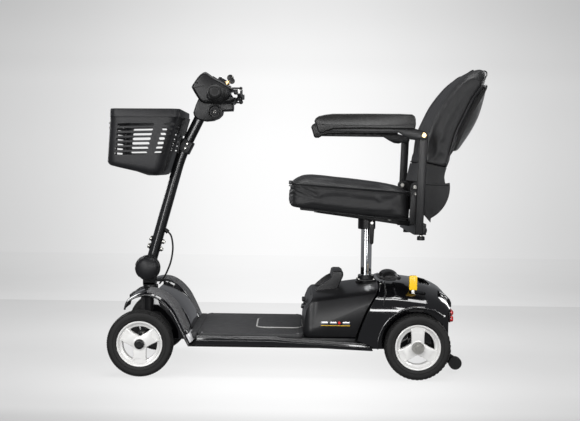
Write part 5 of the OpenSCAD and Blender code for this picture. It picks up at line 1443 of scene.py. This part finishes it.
sweep("back_hem", pts, [(1.9 * cos(radians(a)), 1.9 * sin(radians(a))) for a in range(0, 360, 45)], "piping", "back", slot="seat_vinyl", closed=True, up=(0, 0, 1))
# pocket on the rear
pk = [(475, 697), (480, 694.5), (487, 693.5), (500, 694), (512, 712), (524, 729), (533, 743), (544, 760), (556, 783), (566, 806), (574, 836), (579, 856), (582, 872), (586, 898), (585, 902), (580, 900), (573.5, 896), (560, 878), (537.6, 851), (512, 798), (487.4, 744)]
rows = []
for q in range(25):
    y = -150 + 300 * q / 24
    e = abs(y) / 150
    k = 1 - 0.66 * max(0, (e - 0.55) / 0.45) ** 2
    row = []
    for x, z in pk:
        base = 475 + (z - 697) * 0.28 if z < 744 else 487.2 + (z - 744) * 0.467 if z < 851 else 537.2 + (z - 851) * 0.79
        dx = x - base
        drop = 14 * max(0, (e - 0.7) / 0.3) ** 2 if z > 850 else 0
        row.append(Vector((base + dx * k + crease(y, z, 1.1, 0.7) * (1 if dx > 5 else 0), y, z - drop)))
    rows.append(row)
bp = loft("back_pocket_bag", rows, "weave", ring=True, caps=True, sharp=60)
apply_mod(bp, "SUBSURF", levels=1, render_levels=1)
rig.padded(bp, fill=0.3)
finish_piece(bp, "back", ("back_pocket",), "pocket_cloth", 60)
el = [Vector((584.5 - 17 * max(0, (abs(y) / 150 - 0.55) / 0.45) ** 2, y, 897 - 14 * max(0, (abs(y) / 150 - 0.7) / 0.3) ** 2)) for y in range(-146, 147, 12)]
sweep("back_pocket_elastic", el, [(5.2 * cos(radians(a)), 1.9 * sin(radians(a))) for a in range(0, 360, 30)], "piping", "back", slot="pocket_cloth", up=(1, 0, 0))
# shell under the back
for s in (-1, 1):
    extr("seat_side_flange_%d" % (s + 1), [(341, 498), (344, 470), (352, 466), (384, 468), (386, 500), (384, 545), (376, 568), (364, 577), (352, 570), (345, 545)], *sorted((s * 191, s * 195)), "satin", "seat", slot="satin_black", w=0, cap=1.5, seg=2)
    scatter("seat_side_bolts_%d" % (s + 1), screw_head(5, 3.2), [place((x, s * 195, z), (0, s, 0)) for x, z in ((359, 562), (368, 490))], "zinc", "seat", slot="zinc")
tub = []
for y in (-189.5, -186, -180, -120, -60, 0, 60, 120, 180, 186, 189.5):
    g = 106.8 - (2.5 if abs(y) > 189 else 0.6 if abs(y) > 185 else 0)
    tub.append([Vector((HX + g * cos(radians(a)), y, HZ + g * sin(radians(a)))) for a in range(-60, 8, 4)])
loft("back_tub", tub, "tub", "back", ("back_shell",), "textured_black", thick=7.5, sharp=45)
for s in (-1, 1):
    arc_pts = [(HX + 106.4 * cos(radians(a)), HZ + 106.4 * sin(radians(a))) for a in range(-62, 9, 5)]
    side = [(HX - 12, HZ - 6), (HX + 6, HZ - 13), (384, 500), (397, 485), (407, 474)] + arc_pts + [(452, 594), (HX + 8, 594), (HX - 8, HZ + 10)]
    ds = cut(extr("ds", side, *sorted((s * 180.3, s * 188.2)), "tub", w=0, cap=2.5, seg=3), lathe("c", [(0, 160), (6.3, 160), (6.3, 200), (0, 200)], (HX, 0, HZ), (0, s, 0), "tub", n=32))
    finish_piece(ds, "back", (), "textured_black", 35)
    ds.name = "back_tub_side_%d" % (s + 1)
    lathe("back_hinge_boss_%d" % (s + 1), [(6.4, 186), (13.4, 186), (14, 187), (14, 188.2), (12.8, 189.6), (6.4, 189.6)], (HX, 0, HZ), (0, s, 0), "tub", "back", n=40, slot="textured_black")
nk_out = [(370.4, 598), (377, 626), (384, 655.6), (419, 648.4), (453.4, 641), (449, 626), (447, 612), (449, 599), (452, 586.5), (412, 585), (382, 586)]
loft("back_neck", [[Vector((x + (0 if abs(y) < 183 else (419 - x) * 0.012), y, z)) for x, z in nk_out] for y in (-183.6, -182, -90, 0, 90, 182, 183.6)], "tub", "back", (), "textured_black", ring=True, caps=True, sharp=40)
for s in (-1, 1):
    sweep("back_neck_rib_%d" % (s + 1), [(376, s * 184, 600), (381, s * 184, 626), (388, s * 184, 650)], 1.6, "tub", "back", slot="textured_black")
    sweep("back_tub_rim_%d" % (s + 1), [(x, s * 188.4, 590 - (x - 412) * 0.02) for x in range(372, 462, 8)], 2.4, "tub", "back", slot="textured_black")

# ---------------------------------------------------------------- armrests
pad_main = [(58.6, 743), (63.5, 738.8), (75, 738.8), (84, 744), (104, 750.5), (180, 753), (345, 753.5), (347.6, 768), (346.6, 784), (343.6, 792), (336, 797.4), (300, 798.6), (200, 798), (101, 796.2), (78, 793), (60, 788.6), (51, 782), (48, 775.5), (51.5, 766)]
for s, nm in ((-1, "left"), (1, "right")):
    body = BODY["armrest_pad_" + nm]
    ap = extr("armrest_pad_soft_" + nm, pad_main, *sorted((s * 220.5, s * 269.5)), "pad", w=0, seg=4, cap=4.5)
    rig.padded(ap, fill=0.9)
    finish_piece(ap, body, ("armrest_pad_" + nm,), "pad_black", 60)
    for t in (-1, 1):
        sm = spl([(54, 0, 766), (80, 0, 763.5), (180, 0, 763), (300, 0, 764.5), (346, 0, 769)], 6)
        sweep("armrest_seam_%s_%d" % (nm, t + 1), [(p.x, s * 245 + t * 24.3, p.z) for p in sm], 1.1, "piping", body, slot="pad_black")
    plate_pts = [(66, 744.5), (342, 744.5), (342, 757.2), (66, 757.2)]
    extr("armrest_channel_" + nm, plate_pts, *sorted((s * 232, s * 258)), "paint", body, ("armrest_arm_" + nm,), "frame_steel", w=1.2)
    for t, (ya, yb) in enumerate(((230.2, 236), (254, 259.8))):
        pr = [(296, 757), (342, 757)] + [(AX + 14 * cos(radians(a)), AZ + 14 * sin(radians(a))) for a in range(40, -150, -12)] + [(352, 722.5), (336, 724), (318, 733), (300, 744)]
        pl = cut(extr("pl", pr, *sorted((s * ya, s * yb)), "paint", w=0, cap=1.0, seg=2), lathe("c", [(0, 200), (5.2, 200), (5.2, 300), (0, 300)], (AX, 0, AZ), (0, s, 0), "paint", n=32))
        finish_piece(pl, body, (), "frame_steel", 35)
        pl.name = "armrest_cheek_%s_%d" % (nm, t)
    pb = BODY["armrest_post_" + nm]
    post = [(351.4, 440.5), (376.6, 440.5), (378, 500), (386, 724)] + [(AX + 0.5 + 13 * cos(radians(a)), AZ + 13 * sin(radians(a))) for a in range(-10, 200, 15)] + [(360, 724)]
    extr("armrest_upright_" + nm, post, *sorted((s * 237.2, s * 252.8)), "paint", pb, ("armrest_post_" + nm,), "frame_steel", w=0, cap=3.2, seg=3)
    extr("armrest_tube_" + nm, [(362.3, 442.3), (385.7, 442.3), (385.7, 463.7), (362.3, 463.7)], *sorted((s * 111, s * 250)), "paint", pb, slot="frame_steel", w=2.4)
    lathe("armrest_bolt_" + nm, [(0, 227), (7, 227), (7.8, 228), (7.8, 229.8), (4.8, 229.8), (4.8, 260.4), (8, 260.4), (8, 262.6), (6.6, 264.2), (3, 264.6), (0, 264.2)], (AX, 0, AZ), (0, s, 0), "brass" if s < 0 else "satin", pb, n=36, slot="brass_key" if s < 0 else "satin_black")
    sweep("armrest_weld_" + nm, [(374 + 14.6 * cos(radians(a)), s * 236.4, 453 + 13.4 * sin(radians(a))) for a in range(0, 360, 20)], 1.8, "paint", pb, slot="frame_steel", closed=True)

# ---------------------------------------------------------------- camera, floor and light
def studio():
    cam = bpy.data.objects.new("camera", bpy.data.cameras.new("camera"))
    SCENE.collection.objects.link(cam)
    cam.data.lens, cam.data.sensor_width = 63.6, 36
    cam.data.clip_end = 60
    cam.location = (-0.021, -3.30, 0.641)
    cam.rotation_euler = Euler((radians(90 - 2.5), radians(0.0), 0), "XYZ")
    roll = Matrix.Rotation(radians(0.78), 4, "Z")
    cam.matrix_world = Matrix.Translation(cam.location) @ cam.rotation_euler.to_matrix().to_4x4() @ roll
    SCENE.camera = cam
    # pale paper with painted light: it glows with a painted pool of light, bright in the middle and fading to its
    # edges, floor and wall alike; the floor's painted light steps brighter at Y 1.46 m
    def painted_light_paper(name, half, glow, floor=False):
        m = Mat(name)
        x, y, z = m.xyz()
        a = (x + 0.02) * (1 / half) if not floor else ((x + 0.02) * (1 / half)) * ((y + 3.3) ** -1.0)
        bell = (a * a * -1.0).exp()
        h = y if floor else z
        k = None
        for (h0, v0), (h1, v1) in zip(glow, glow[1:]):
            t = h.step(h0, h1) * (v1 - v0)
            k = t if k is None else k + t
        k = k + glow[0][1]
        # painted light: the emitted brightness is a painted pool of light, brightest in the middle and falling off
        # towards the edges and along the floor or up the wall
        painted_light_tone = (bell * 0.46 + 0.54) * k
        m.set("Base Color", m.mix(m.noise(3, 3).step(0.3, 0.7), (0.10, 0.10, 0.10), (0.11, 0.11, 0.11)))
        m.set("Emission Color", painted_light_tone.rgb())
        m.m.node_tree.nodes["Principled BSDF"].inputs["Emission Strength"].default_value = 1.0
        m.set("Roughness", m.noise(30, 3) * 0.1 + 0.8)
        m.m.node_tree.nodes["Principled BSDF"].inputs["Specular IOR Level"].default_value = 0.0
        M[name] = m.m
    painted_light_paper("studio_floor", 0.2206, ((-1.2, 0.55), (-0.78, 0.65), (-0.62, 0.81), (-0.35, 0.88), (0.3, 0.83), (1.2, 0.72), (1.459, 0.72), (1.463, 0.84), (4.0, 0.92)), True)
    painted_light_paper("studio_wall", 1.61, ((0.0, 0.92), (0.7, 0.95), (1.2, 0.92), (1.4, 0.86), (1.85, 0.76)))
    fl = mesh("floor", [(-9000, -5500, 0), (9000, -5500, 0), (9000, 4000, 0), (-9000, 4000, 0)], [(0, 1, 2, 3)], "studio_floor", fix=False)
    wl = mesh("backdrop", [(-9000, 4000, 0), (9000, 4000, 0), (9000, 4000, 6200), (-9000, 4000, 6200)], [(0, 1, 2, 3)], "studio_wall", fix=False)
    for o in (fl, wl):
        o.visible_diffuse = o.visible_glossy = o.visible_shadow = False
    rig.stage(fl, wl)
    def area(name, pos, aim, size, power, sy=None, col=(1, 1, 1)):
        l = bpy.data.lights.new(name, "AREA")
        l.energy, l.size, l.color = power, size, col
        if sy:
            l.shape, l.size_y = "RECTANGLE", sy
        o = bpy.data.objects.new(name, l)
        SCENE.collection.objects.link(o)
        o.location = pos
        o.rotation_euler = (Vector(aim) - Vector(pos)).to_track_quat("-Z", "Y").to_euler()
    area("top_soft", (0, -0.25, 2.6), (0, 0.0, 0), 2.2, 62, 1.0)
    area("key_left", (-2.0, -2.6, 1.7), (0, 0, 0.4), 0.9, 40, 0.9)
    area("card_left", (-1.15, -2.5, 0.7), (0.1, 0, 0.4), 0.5, 20, 1.5)
    area("fill_right", (2.2, -2.6, 1.4), (0.2, 0, 0.4), 0.8, 34, 0.8)
    area("low_front", (0.1, -3.4, 0.75), (0, 0, 0.3), 1.8, 30, 0.35)
    area("strip", (0.75, -2.7, 0.8), (0.2, 0, 0.4), 0.16, 9, 1.4)
    area("rim_left", (-1.6, 1.3, 1.3), (-0.2, 0, 0.5), 0.5, 14, 1.2)
    area("rim_right", (1.7, 1.3, 1.3), (0.3, 0, 0.5), 0.5, 14, 1.2)
    w = bpy.data.worlds.new("w")
    SCENE.world = w
    w.use_nodes = True
    w.node_tree.nodes["Background"].inputs[0].default_value = (0.93, 0.95, 1.0, 1)
    w.node_tree.nodes["Background"].inputs[1].default_value = 0.2
    SCENE.view_settings.view_transform = "Standard"
studio()

# finishes for what still shows of the CAD
CAD = {"frame_steel": "paint", "zinc": "zinc", "gloss_black": "gloss", "satin_black": "satin", "textured_black": "console", "mat_rubber": "mat",
       "lens_red": "lens", "cast_alloy": "alloy", "cable_rubber": "cable", "tiller_paint": "tiller", "grip_rubber": "grip", "brass_key": "brass",
       "grey_plastic": "grey", "tyre_black": "tyre", "rim_white": "rim", "chrome_post": "chrome", "seat_vinyl": "vinyl", "pocket_cloth": "weave",
       "pad_black": "pad", "lever_yellow": "yellow"}
SLOT = {s["node"]: s["material_slot"] for s in frame["record"]["subparts"]}
for n, o in frame["nodes"].items():
    if not o.hide_render:
        o.data.materials.clear()
        o.data.materials.append(M[CAD[SLOT[n]]])
        for p in o.data.polygons:
            p.material_index = 0
        o.data.shade_smooth()
        o.data.set_sharp_from_angle(angle=radians(32))
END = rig.bounds()
json.dump({"start": [list(v) for v in START], "end": [list(v) for v in END]}, open("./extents.json", "w"))
